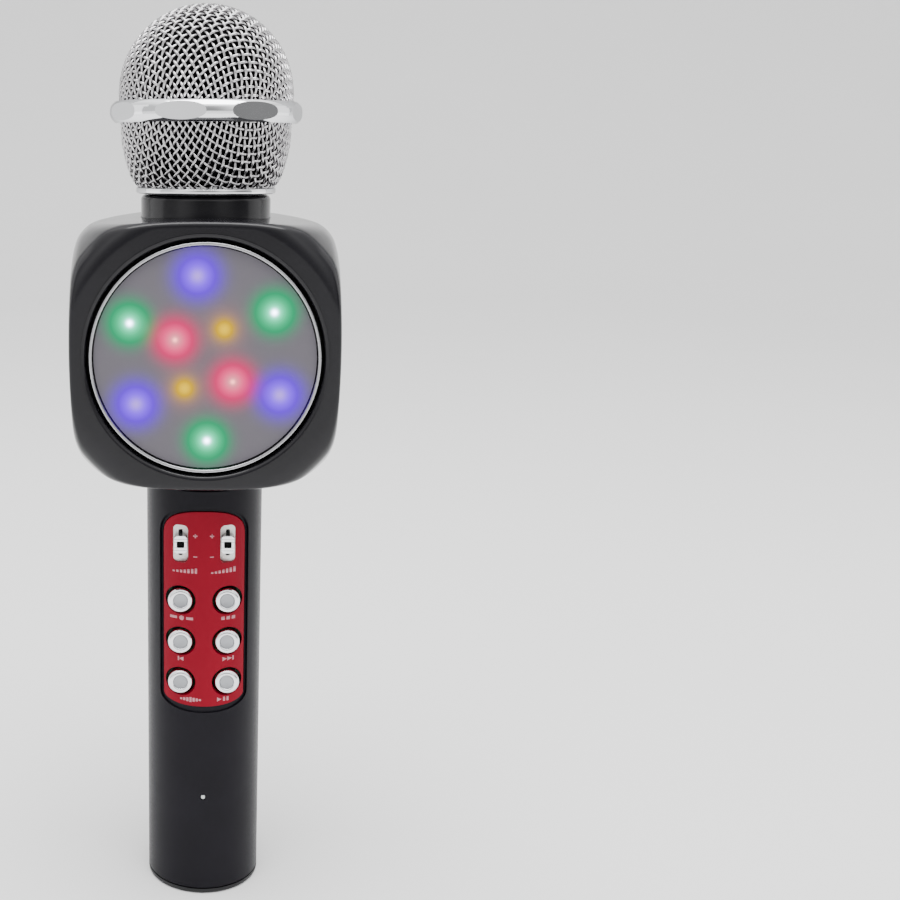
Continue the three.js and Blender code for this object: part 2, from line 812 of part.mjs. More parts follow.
function buildNeckAndWindscreen() {
  addPart("neck_collar", buildNeckCollar(), finish.glossBlack);
  const sleeve = [
    [13.6, 200],
    [neckBore - gap, 200],
    [neckBore - gap, neckTop + gap],
    [threadRadius, neckTop + gap],
    [threadRadius, threadTop],
    [13.6, threadTop],
    [13.6, 200],
  ];
  addPart("neck_thread", turned(sleeve), finish.brass);
  addPart("capsule_post", turned(ringProfile(11.2, 13.2, 197, 219), innerSegments), finish.darkPlastic);
  addPart("capsule_cradle", turned(ringProfile(9.4, 13.6, 219.3, 224), innerSegments), finish.rubber);
  const capsule = [
    [0, 220.4],
    [9.1, 220.4],
    [9.1, 224.4],
    [10.4, 224.4],
    [10.4, 232.4],
    [8.6, 234.2],
    [0, 234.8],
  ];
  addPart("microphone_capsule", turned(capsule, innerSegments), finish.steel);
  addPart("windscreen_base_ring", buildBaseRing(), finish.chrome);
  addPart("windscreen_basket", buildBasket(), finish.steel);
  addPart("anti_roll_band", buildBand(), finish.chrome);
  addPart("windscreen_dome", buildDome(), finish.steel);
  addPart("windscreen_foam", buildFoam(), finish.foam);
}

buildHandle();
buildSpeakerBox();
buildNeckAndWindscreen();

export default microphone;
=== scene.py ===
"""Karaoke microphone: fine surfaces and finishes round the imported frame.

Lengths in the classes are millimetres unless a name says otherwise. The bench turns them into metres.
"""

import logging
from collections.abc import Callable, Sequence
from dataclasses import dataclass, field
from enum import Enum
from math import atan2, cos, degrees, hypot, pi, radians, sin, sqrt

import bmesh
import bpy
import numpy as np
from mathutils import Matrix, Vector


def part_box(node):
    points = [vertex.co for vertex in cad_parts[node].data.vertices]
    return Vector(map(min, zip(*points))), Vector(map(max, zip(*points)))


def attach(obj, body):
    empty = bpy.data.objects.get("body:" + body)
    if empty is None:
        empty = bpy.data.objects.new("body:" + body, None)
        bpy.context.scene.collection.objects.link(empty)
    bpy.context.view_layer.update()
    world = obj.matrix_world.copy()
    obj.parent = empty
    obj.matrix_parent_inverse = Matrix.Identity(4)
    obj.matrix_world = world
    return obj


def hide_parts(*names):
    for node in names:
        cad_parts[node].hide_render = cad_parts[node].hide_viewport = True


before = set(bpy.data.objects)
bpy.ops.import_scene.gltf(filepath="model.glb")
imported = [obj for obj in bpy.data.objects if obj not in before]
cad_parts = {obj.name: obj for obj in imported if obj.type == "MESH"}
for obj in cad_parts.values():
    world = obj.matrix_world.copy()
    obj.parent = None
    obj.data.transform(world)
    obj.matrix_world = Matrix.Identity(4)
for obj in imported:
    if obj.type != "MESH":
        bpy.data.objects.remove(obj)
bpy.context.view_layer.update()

MM = 0.001
WELD = 0.0005  # points closer than this many millimetres are one
AHEAD = -20.0  # cutters for the handle start in front of it
BEHIND_PLATE = -8.0  # and end behind the control panel
BEHIND_HOLES = -5.0  # or behind the buttons and sliders
BEND_LOW, BEND_HIGH = 50.0, 125.0  # the rings that bend the panel reach past both its ends
BEVEL_STEPS = 2
BUTTON_BACK, PLUNGER_BACK = -13.6, -11.6
LOG = logging.getLogger("microphone")

Point2 = tuple[float, float]
Colour = tuple[float, float, float]


class Body(Enum):
    """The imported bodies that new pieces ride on."""

    ENCLOSURE = "enclosure"
    THREAD_RING = "windscreen_thread_ring"
    HEAD = "windscreen_head"
    DIAPHRAGM = "speaker_diaphragm"


class Axis(Enum):
    """The line that a turned piece is turned about."""

    ALONG_Y = "y"
    ALONG_Z = "z"


class Cut(Enum):
    """How one solid changes another."""

    TAKE_AWAY = "DIFFERENCE"
    KEEP_COMMON = "INTERSECT"
    JOIN = "UNION"


# ---- finishes -----------------------------------------------------------------------------------


@dataclass(frozen=True)
class Finish:
    """A moulded, plated or painted surface with fine grain in its colour, gloss and relief."""

    name: str
    colour: Colour
    roughness: float
    metallic: float = 0.0
    coat: float = 0.0
    coat_roughness: float = 0.05
    specular: float = 0.5
    edge: float = 1.0
    tone: float = 0.1
    patch_scale: float = 70.0
    grain_scale: float = 1400.0
    stretch: tuple[float, float, float] = (1.0, 1.0, 1.0)
    gloss_spread: float = 0.05
    relief: float = 0.0

    def material(self) -> bpy.types.Material:
        """Give the finish's material, made the first time it is asked for.

        Returns:
            The material, shared by every piece with this finish.
        """
        existing = bpy.data.materials.get(self.name)
        if existing:
            return existing
        material = bpy.data.materials.new(self.name)
        material.use_nodes = True
        graph = Graph(material.node_tree)
        self.paint(graph)
        return material

    def paint(self, graph: "Graph") -> None:
        """Lay the colour, gloss and relief on the shader.

        Args:
            graph: the material's nodes.
        """
        place = graph.object_point(self.stretch)
        patches = graph.noise(place, self.patch_scale, 3)
        grain = graph.noise(place, self.grain_scale, 2)
        dark, light = self.shade(1 - self.tone), self.shade(1 + self.tone)
        graph.set("Base Color", graph.tones(patches, dark, light))
        low = max(self.roughness - self.gloss_spread, 0.01)
        graph.set("Roughness", graph.span(grain, low, self.roughness + self.gloss_spread))
        graph.fix("Metallic", self.metallic)
        graph.fix("Coat Weight", self.coat)
        graph.fix("Coat Roughness", self.coat_roughness)
        graph.fix("Specular IOR Level", self.specular)
        graph.fix("Specular Tint", (self.edge, self.edge, self.edge, 1.0))
        if self.relief:
            graph.bump(grain, self.relief)

    def shade(self, factor: float) -> Colour:
        """Scale the finish's colour by a factor."""
        return tuple(min(channel * factor, 1.0) for channel in self.colour)


class Graph:
    """Short names for the shader nodes that the finishes share."""

    def __init__(self, tree: bpy.types.NodeTree, shader: str = "Principled BSDF") -> None:
        """Keep the tree and its main shader.

        Args:
            tree: a new material's or world's node tree.
            shader: the main shader's name.
        """
        self.tree = tree
        self.shader = tree.nodes[shader]

    def add(self, kind: str, **settings: object) -> bpy.types.Node:
        """Add a node and set its properties.

        Args:
            kind: the node's type name, without the ShaderNode in front.
            settings: property names and values.

        Returns:
            The new node.
        """
        node = self.tree.nodes.new("ShaderNode" + kind)
        for name, value in settings.items():
            setattr(node, name, value)
        return node

    def join(self, source: bpy.types.NodeSocket, target: bpy.types.NodeSocket) -> None:
        """Link one socket to another."""
        self.tree.links.new(source, target)

    def fix(self, socket: str, value: object) -> None:
        """Set a constant on the shader's own socket."""
        self.shader.inputs[socket].default_value = value

    def set(self, socket: str, source: bpy.types.NodeSocket) -> None:
        """Feed one of the shader's sockets."""
        self.join(source, self.shader.inputs[socket])

    def object_point(self, stretch: tuple[float, float, float] = (1.0, 1.0, 1.0)) -> bpy.types.NodeSocket:
        """Give the surface point in object coordinates, scaled along each axis.

        Args:
            stretch: the scale along X, Y and Z.

        Returns:
            The vector socket.
        """
        where = self.add("TexCoord").outputs["Object"]
        if stretch == (1.0, 1.0, 1.0):
            return where
        mapping = self.add("Mapping")
        mapping.inputs["Scale"].default_value = stretch
        self.join(where, mapping.inputs["Vector"])
        return mapping.outputs["Vector"]

    def noise(self, place: bpy.types.NodeSocket, scale: float, detail: float) -> bpy.types.NodeSocket:
        """Add a noise pattern.

        Args:
            place: the vector it reads.
            scale: waves per metre.
            detail: octaves.

        Returns:
            The factor socket.
        """
        node = self.add("TexNoise")
        node.inputs["Scale"].default_value = scale
        node.inputs["Detail"].default_value = detail
        self.join(place, node.inputs["Vector"])
        return node.outputs["Fac"]

    def cells(self, place: bpy.types.NodeSocket, scale: float, feature: str) -> bpy.types.NodeSocket:
        """Add a cell pattern.

        Args:
            place: the vector it reads.
            scale: cells per metre.
            feature: F1 or DISTANCE_TO_EDGE.

        Returns:
            The distance socket.
        """
        node = self.add("TexVoronoi", feature=feature)
        node.inputs["Scale"].default_value = scale
        self.join(place, node.inputs["Vector"])
        return node.outputs["Distance"]

    def tones(
        self, factor: bpy.types.NodeSocket, dark: Colour, light: Colour, ends: Point2 = (0.3, 0.7)
    ) -> bpy.types.NodeSocket:
        """Run a factor between two colours.

        Args:
            factor: 0 to 1.
            dark: the colour at low values.
            light: the colour at high values.
            ends: the factors where the run starts and ends.

        Returns:
            The colour socket.
        """
        ramp = self.add("ValToRGB")
        ramp.color_ramp.elements[0].position = ends[0]
        ramp.color_ramp.elements[1].position = ends[1]
        ramp.color_ramp.elements[0].color = (*dark, 1.0)
        ramp.color_ramp.elements[1].color = (*light, 1.0)
        self.join(factor, ramp.inputs["Fac"])
        return ramp.outputs["Color"]

    def span(
        self, factor: bpy.types.NodeSocket, low: float, high: float, source: Point2 = (0.3, 0.7)
    ) -> bpy.types.NodeSocket:
        """Map a factor on to a range.

        Args:
            factor: the socket to map.
            low: the result at the source's first value.
            high: the result at the source's second value.
            source: the range that is read.

        Returns:
            The value socket.
        """
        node = self.add("MapRange")
        for index, value in enumerate((*source, low, high), start=1):
            node.inputs[index].default_value = value
        self.join(factor, node.inputs[0])
        return node.outputs[0]

    def math(self, operation: str, *operands: object) -> bpy.types.NodeSocket:
        """Add one step of arithmetic.

        Args:
            operation: Blender's name of the operation.
            operands: sockets or numbers.

        Returns:
            The value socket.
        """
        node = self.add("Math", operation=operation)
        for index, operand in enumerate(operands):
            if isinstance(operand, (int, float)):
                node.inputs[index].default_value = operand
            else:
                self.join(operand, node.inputs[index])
        return node.outputs[0]

    def bump(self, height: bpy.types.NodeSocket, distance: float) -> None:
        """Give the shader a relief.

        Args:
            height: 0 to 1.
            distance: the relief's depth in metres.
        """
        node = self.add("Bump")
        node.inputs["Strength"].default_value = 1.0
        node.inputs["Distance"].default_value = distance
        self.join(height, node.inputs["Height"])
        self.set("Normal", node.outputs["Normal"])


@dataclass(frozen=True)
class Halo:
    """One ring of a lamp's light: its colour, its radius and how squarely it ends."""

    colour: Colour
    spread: float
    power: float = 2.0


@dataclass(frozen=True)
class Lamp:
    """One lamp behind the light panel: its place and its halos, the widest first."""

    radius: float
    turn: float
    halos: tuple[Halo, ...]

    def place(self, height: float) -> Vector:
        """Give the lamp's place on the panel.

        Args:
            height: the panel's centre above the floor.

        Returns:
            The place in millimetres, at no depth.
        """
        turn = radians(self.turn)
        return Vector((self.radius * cos(turn), 0.0, height + self.radius * sin(turn)))


@dataclass(frozen=True)
class LampPanelFinish(Finish):
    """Smoked sheet that scatters the light of the lamps behind it."""

    height: float = 164.5
    lamps: tuple[Lamp, ...] = ()
    drowned: Colour = (0.002, 0.002, 0.002)
    drowning: Point2 = (0.0, 0.55)

    def paint(self, graph: Graph) -> None:
        """Add each lamp's soft glow and let it drown the sheet's own colour.

        Args:
            graph: the material's nodes.
        """
        super().paint(graph)
        where = graph.add("SeparateXYZ")
        graph.join(graph.object_point(), where.inputs[0])
        flat = graph.add("CombineXYZ")
        graph.join(where.outputs["X"], flat.inputs["X"])
        graph.join(where.outputs["Z"], flat.inputs["Z"])
        light = graph.add("CombineXYZ").outputs[0]
        cover = graph.math("ADD", 0.0, 0.0)
        for lamp in self.lamps:
            away = graph.add("VectorMath", operation="DISTANCE")
            away.inputs[1].default_value = lamp.place(self.height) * MM
            graph.join(flat.outputs[0], away.inputs[0])
            for halo in lamp.halos:
                bell = self.bell(graph, away.outputs["Value"], halo)
                light = self.add_light(graph, light, halo.colour, bell)
                if halo is lamp.halos[0]:
                    cover = graph.math("ADD", cover, bell)
        graph.set("Emission Color", light)
        graph.fix("Emission Strength", 1.0)
        graph.set("Base Color", graph.tones(cover, self.colour, self.drowned, self.drowning))

    @staticmethod
    def bell(graph: Graph, away: bpy.types.NodeSocket, halo: Halo) -> bpy.types.NodeSocket:
        """Fade from 1 at a lamp to 0 well away from it.

        Args:
            graph: the material's nodes.
            away: the distance from the lamp.
            halo: the halo's radius and power.

        Returns:
            The value socket.
        """
        ratio = graph.math("POWER", graph.math("DIVIDE", away, halo.spread * MM), halo.power)
        return graph.math("EXPONENT", graph.math("MULTIPLY", ratio, -1.0))

    @staticmethod
    def add_light(
        graph: Graph, light: bpy.types.NodeSocket, colour: Colour, bell: bpy.types.NodeSocket
    ) -> bpy.types.NodeSocket:
        """Add one coloured bell to the light so far.

        Args:
            graph: the material's nodes.
            light: the light so far.
            colour: the bell's colour at its middle.
            bell: the bell's factor.

        Returns:
            The colour socket of the sum.
        """
        tint = graph.add("VectorMath", operation="MULTIPLY_ADD")
        tint.inputs[0].default_value = colour
        spread = graph.add("CombineXYZ")
        for axis in spread.inputs:
            graph.join(bell, axis)
        graph.join(spread.outputs[0], tint.inputs[1])
        graph.join(light, tint.inputs[2])
        return tint.outputs[0]


@dataclass(frozen=True)
class BoardFinish(Finish):
    """Solder mask over copper tracks."""

    track_scale: float = 420.0
    track_stretch: tuple[float, float, float] = (1.0, 1.0, 0.45)
    track_edges: Point2 = (0.02, 0.09)
    track_shade: float = 2.6
    track_relief: float = 0.00004

    def paint(self, graph: Graph) -> None:
        """Draw straight tracks and bare pads.

        Args:
            graph: the material's nodes.
        """
        super().paint(graph)
        cells = graph.cells(graph.object_point(self.track_stretch), self.track_scale, "DISTANCE_TO_EDGE")
        tracks = graph.span(cells, 1.0, 0.0, self.track_edges)
        graph.set("Base Color", graph.tones(tracks, self.colour, self.shade(self.track_shade)))
        graph.bump(tracks, self.track_relief)


@dataclass(frozen=True)
class FoamFinish(Finish):
    """Open-cell foam."""

    pore_scale: float = 1600.0
    pore_shades: Point2 = (0.3, 1.6)
    pore_depth: float = 0.0003

    def paint(self, graph: Graph) -> None:
        """Sink a pore at each cell.

        Args:
            graph: the material's nodes.
        """
        super().paint(graph)
        pores = graph.cells(graph.object_point(), self.pore_scale, "F1")
        graph.set("Base Color", graph.tones(pores, *[self.shade(factor) for factor in self.pore_shades]))
        graph.bump(pores, self.pore_depth)


@dataclass(frozen=True)
class SpunFinish(Finish):
    """Metal or paper with fine rings round the box's depth axis."""

    height: float = 164.5
    ring_scale: float = 45.0
    ring_waver: float = 0.6
    ring_relief: float = 0.00002

    def paint(self, graph: Graph) -> None:
        """Add the ring marks.

        Args:
            graph: the material's nodes.
        """
        super().paint(graph)
        shift = graph.add("Mapping")
        shift.inputs["Location"].default_value = (0.0, 0.0, -self.height * MM)
        graph.join(graph.object_point(), shift.inputs["Vector"])
        wave = graph.add("TexWave", wave_type="RINGS", rings_direction="Y")
        wave.inputs["Scale"].default_value = self.ring_scale
        wave.inputs["Distortion"].default_value = self.ring_waver
        graph.join(shift.outputs["Vector"], wave.inputs["Vector"])
        graph.bump(wave.outputs["Fac"], max(self.relief, self.ring_relief))


GREEN_LAMP = (
    Halo((0.0, 0.90, 0.35), 5.7, 3.0),
    Halo((0.25, 1.9, 1.2), 1.9),
    Halo((9.0, 7.0, 12.0), 0.75),
)
BLUE_LAMP = (Halo((0.36, 0.03, 2.35), 5.5, 2.6), Halo((0.42, 0.42, -0.55), 1.7))
RED_LAMP = (Halo((1.85, 0.07, 0.38), 5.4, 2.6), Halo((-0.35, 0.44, 0.2), 1.9), Halo((2.6, 0.7, 0.6), 0.6))
AMBER_LAMP = (Halo((1.25, 0.95, 0.0), 2.5), Halo((0.32, 0.04, 0.0), 4.6))


def lamp_ring() -> tuple[Lamp, ...]:
    """Set out the ten lamps: six round the edge and four near the middle.

    Returns:
        The lamps.
    """
    outer, inner = 21.4, 9.2
    return (
        Lamp(outer, 34.5, GREEN_LAMP),
        Lamp(outer, 95.5, BLUE_LAMP),
        Lamp(outer, 154.5, GREEN_LAMP),
        Lamp(outer, 213.5, BLUE_LAMP),
        Lamp(outer, 271.5, GREEN_LAMP),
        Lamp(outer, 334.5, BLUE_LAMP),
        Lamp(inner, 58.0, AMBER_LAMP),
        Lamp(inner, 147.0, RED_LAMP),
        Lamp(inner, 235.0, AMBER_LAMP),
        Lamp(inner, 321.0, RED_LAMP),
    )


class Coat:
    """Every finish on the microphone, by the maker's name for it."""

    GLOSS_BLACK = Finish(
        "gloss_black_moulding", (0.0065, 0.0062, 0.0080), 0.16, specular=0.30, tone=0.12, gloss_spread=0.03,
        relief=0.0000015,
    )
    CHARCOAL = Finish(
        "satin_charcoal_moulding", (0.0066, 0.0060, 0.0088), 0.34, specular=0.11, tone=0.14, relief=0.000005
    )
    RED = Finish(
        "satin_red_panel", (0.218, 0.0022, 0.014), 0.42, specular=0.09, tone=0.08,
        grain_scale=2200.0, stretch=(1.0, 1.0, 0.2), relief=0.000004,
    )
    CHROME = Finish(
        "bright_chrome", (0.88, 0.89, 0.91), 0.07, metallic=1.0, edge=0.6, tone=0.03, gloss_spread=0.03
    )
    SILVER = Finish(
        "satin_silver", (0.38, 0.38, 0.395), 0.24, metallic=1.0, tone=0.05, gloss_spread=0.06, relief=0.000003
    )
    PLATE = Finish("bright_slot_plate", (0.78, 0.77, 0.74), 0.35, metallic=0.5, tone=0.04, relief=0.000003)
    GREY_CAP = Finish(
        "grey_button_cap", (0.36, 0.37, 0.39), 0.36, metallic=0.3, tone=0.06, relief=0.000004
    )
    WIRE = Finish(
        "nickel_wire", (0.57, 0.56, 0.57), 0.14, metallic=1.0, edge=0.25, tone=0.14,
        patch_scale=260.0, gloss_spread=0.08,
    )
    STEEL = Finish(
        "plain_steel", (0.46, 0.46, 0.48), 0.32, metallic=1.0, tone=0.08, gloss_spread=0.08, relief=0.000004
    )
    BRASS = Finish("tinned_brass", (0.62, 0.44, 0.16), 0.3, metallic=1.0, tone=0.1)
    DARK_STEEL = Finish("blackened_steel", (0.05, 0.05, 0.055), 0.35, metallic=1.0, gloss_spread=0.08)
    SMOKED = LampPanelFinish(
        "smoked_light_panel", (0.126, 0.118, 0.135), 0.4, specular=0.06, tone=0.04, grain_scale=2600.0,
        relief=0.000003, lamps=lamp_ring(),
    )
    BOARD = BoardFinish("green_board", (0.008, 0.075, 0.028), 0.38)
    PLASTIC = Finish("black_moulding", (0.008, 0.008, 0.009), 0.45, specular=0.3, relief=0.000008)
    # Painted shade: a near-black sheet laid on the floors of the rim channels and the slider grip pits.
    PAINTED_SHADE = Finish("painted_shade_black", (0.002, 0.002, 0.002), 0.6, specular=0.1)
    FOAM = FoamFinish("open_cell_foam", (0.004, 0.004, 0.0045), 0.95, specular=0.1)
    PAPER = SpunFinish("pressed_paper", (0.012, 0.0115, 0.011), 0.8, relief=0.00006)
    RUBBER = Finish("soft_rubber", (0.008, 0.008, 0.009), 0.6, relief=0.00001)
    SPUN_STEEL = SpunFinish("spun_steel", (0.5, 0.5, 0.52), 0.3, metallic=1.0)
    WRAP = Finish("blue_cell_wrap", (0.03, 0.11, 0.42), 0.3, coat=0.3)
    LENS = Finish("frosted_lens", (0.55, 0.58, 0.57), 0.3)
    GRILLE = Finish("grey_powder_coat", (0.075, 0.075, 0.082), 0.5, metallic=0.2, relief=0.00001)
    PRINT = Finish("pale_print", (0.52, 0.22, 0.25), 0.5, specular=0.2, tone=0.12)
    FLOOR = Finish(
        "studio_floor", (0.86, 0.86, 0.86), 0.6, specular=0.1, tone=0.01, patch_scale=3.0, grain_scale=60.0
    )


# ---- bench --------------------------------------------------------------------------------------


class Bench:
    """Makes, cuts and hands over meshes, all in the frame's place."""

    @staticmethod
    def hold(mesh: bmesh.types.BMesh, name: str) -> bpy.types.Object:
        """Turn a finished bmesh, in millimetres, into an object.

        Args:
            mesh: the shape, which is freed.
            name: the object's name.

        Returns:
            The object, smooth shaded, at the origin.
        """
        bmesh.ops.remove_doubles(mesh, verts=mesh.verts, dist=WELD)
        bmesh.ops.recalc_face_normals(mesh, faces=mesh.faces)
        bmesh.ops.scale(mesh, vec=(MM, MM, MM), verts=mesh.verts)
        for face in mesh.faces:
            face.smooth = True
        data = bpy.data.meshes.new(name)
        mesh.to_mesh(data)
        mesh.free()
        piece = bpy.data.objects.new(name, data)
        bpy.context.scene.collection.objects.link(piece)
        return piece

    @staticmethod
    def turned(
        name: str,
        profile: Sequence[Point2],
        axis: Axis = Axis.ALONG_Z,
        centre: Point2 = (0.0, 0.0),
        steps: int = 128,
    ) -> bpy.types.Object:
        """Spin a profile into a solid.

        Args:
            name: the object's name.
            profile: radius and place along the axis, closed on the axis or on itself.
            axis: the line it turns about.
            centre: where that line is: x and y for a line along Z, x and z for a line along Y.
            steps: facets round the turn.

        Returns:
            The solid.
        """
        mesh = bmesh.new()
        along_z = axis is Axis.ALONG_Z
        middle = Vector((centre[0], centre[1], 0)) if along_z else Vector((centre[0], 0, centre[1]))
        points = [middle + (Vector((r, 0, a)) if along_z else Vector((r, a, 0))) for r, a in profile]
        verts = [mesh.verts.new(point) for point in points]
        edges = [mesh.edges.new(pair) for pair in zip(verts, verts[1:])]
        if profile[0][0] > 0 and profile[-1][0] > 0:
            edges.append(mesh.edges.new((verts[-1], verts[0])))
        direction = (0, 0, 1) if along_z else (0, 1, 0)
        bmesh.ops.spin(
            mesh, geom=verts + edges, cent=middle, axis=direction, angle=2 * pi, steps=steps, use_merge=True
        )
        bmesh.ops.remove_doubles(mesh, verts=mesh.verts, dist=WELD)
        return Bench.hold(mesh, name)

    @staticmethod
    def slab(name: str, outline: Sequence[Point2], front: float, back: float) -> bpy.types.Object:
        """Extrude an outline in X and Z along Y.

        Args:
            name: the object's name.
            outline: its corners in order.
            front: the lower y.
            back: the higher y.

        Returns:
            The solid.
        """
        mesh = bmesh.new()
        face = mesh.faces.new([mesh.verts.new((x, front, z)) for x, z in outline])
        grown = bmesh.ops.extrude_face_region(mesh, geom=[face])
        verts = [item for item in grown["geom"] if isinstance(item, bmesh.types.BMVert)]
        bmesh.ops.translate(mesh, verts=verts, vec=(0, back - front, 0))
        return Bench.hold(mesh, name)

    @staticmethod
    def carve(target: bpy.types.Object, cutter: bpy.types.Object, how: Cut = Cut.TAKE_AWAY) -> None:
        """Change one solid by another, which is used up.

        Args:
            target: the solid that stays.
            cutter: the solid that goes.
            how: what to do with it.
        """
        change = target.modifiers.new("change", "BOOLEAN")
        change.operation = how.value
        change.object = cutter
        change.solver = "EXACT"
        ready = target.evaluated_get(bpy.context.evaluated_depsgraph_get())
        result = bpy.data.meshes.new_from_object(ready)
        target.modifiers.clear()
        used = target.data
        target.data = result
        result.name = used.name
        bpy.data.meshes.remove(used)
        bpy.data.objects.remove(cutter)

    @staticmethod
    def soften(piece: bpy.types.Object, width: float, angle: float = 32.0) -> None:
        """Round a piece's edges with a live bevel.

        Args:
            piece: the piece.
            width: the bevel's width in millimetres.
            angle: only edges sharper than this many degrees are rounded.
        """
        bevel = piece.modifiers.new("softened_edges", "BEVEL")
        bevel.width = width * MM
        bevel.segments = BEVEL_STEPS
        bevel.limit_method = "ANGLE"
        bevel.angle_limit = radians(angle)
        bevel.harden_normals = True

    @staticmethod
    def keep_creases(piece: bpy.types.Object, angle: float = 32.0) -> None:
        """Shade a piece smoothly except across its sharp edges."""
        piece.data.set_sharp_from_angle(angle=radians(angle))

    @staticmethod
    def hand_over(
        piece: bpy.types.Object, finish: Finish, slot: str, body: Body | str, *stands_for: str
    ) -> None:
        """Dress a piece, put it on its body and hide the frame's nodes that it stands for.

        Args:
            piece: the piece.
            finish: its finish.
            slot: the record's material slot; not used.
            body: the body it rides on.
            stands_for: the frame's nodes that it replaces.
        """
        piece.data.materials.clear()
        piece.data.materials.append(finish.material())
        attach(piece, body.value if isinstance(body, Body) else body)
        if stands_for:
            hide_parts(*stands_for)
        LOG.info("%s: %d faces", piece.name, len(piece.data.polygons))

    @staticmethod
    def lathe(
        name: str,
        profile: Sequence[Point2],
        finish: Finish,
        slot: str,
        body: Body | str,
        *stands_for: str,
        axis: Axis = Axis.ALONG_Z,
        centre: Point2 = (0.0, 0.0),
        steps: int = 128,
        crease: float = 32.0,
    ) -> None:
        """Turn a piece, crease it and hand it over.

        Args:
            name: the piece's name.
            profile: its section, as for turned.
            finish: its finish.
            slot: the record's material slot.
            body: the body it rides on.
            stands_for: the frame's nodes that it replaces.
            axis: the line it turns about.
            centre: where that line is.
            steps: facets round the turn.
            crease: edges sharper than this many degrees stay sharp.
        """
        piece = Bench.turned(name, profile, axis, centre, steps)
        Bench.keep_creases(piece, crease)
        Bench.hand_over(piece, finish, slot, body, *stands_for)


def arc(centre: Point2, radius: float, start: float, end: float, steps: int) -> list[Point2]:
    """Points along an arc.

    Args:
        centre: the arc's centre.
        radius: its radius.
        start: its first angle in degrees.
        end: its last angle in degrees.
        steps: stretches between the points.

    Returns:
        The points, both ends among them.
    """
    turns = [radians(start + (end - start) * i / steps) for i in range(steps + 1)]
    return [(centre[0] + radius * cos(t), centre[1] + radius * sin(t)) for t in turns]


def rounded_rectangle(half_width: float, half_height: float, corner: float, centre: Point2) -> list[Point2]:
    """An outline with four round corners.

    Args:
        half_width: half its width.
        half_height: half its height.
        corner: its corner radius.
        centre: its middle.

    Returns:
        The outline's points.
    """
    points: list[Point2] = []
    across = half_width - corner
    up = half_height - corner
    for quarter, (x, z) in enumerate(((across, up), (-across, up), (-across, -up), (across, -up))):
        points += arc((centre[0] + x, centre[1] + z), corner, 90 * quarter, 90 * quarter + 90, 6)
    return points


def node_box(node: str) -> tuple[Vector, Vector]:
    """A frame node's lowest and highest corners in millimetres."""
    low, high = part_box(node)
    return Vector(low) / MM, Vector(high) / MM


def node_middle(node: str) -> Vector:
    """The middle of a frame node's box in millimetres."""
    low, high = node_box(node)
    return (low + high) / 2


# ---- speaker box --------------------------------------------------------------------------------


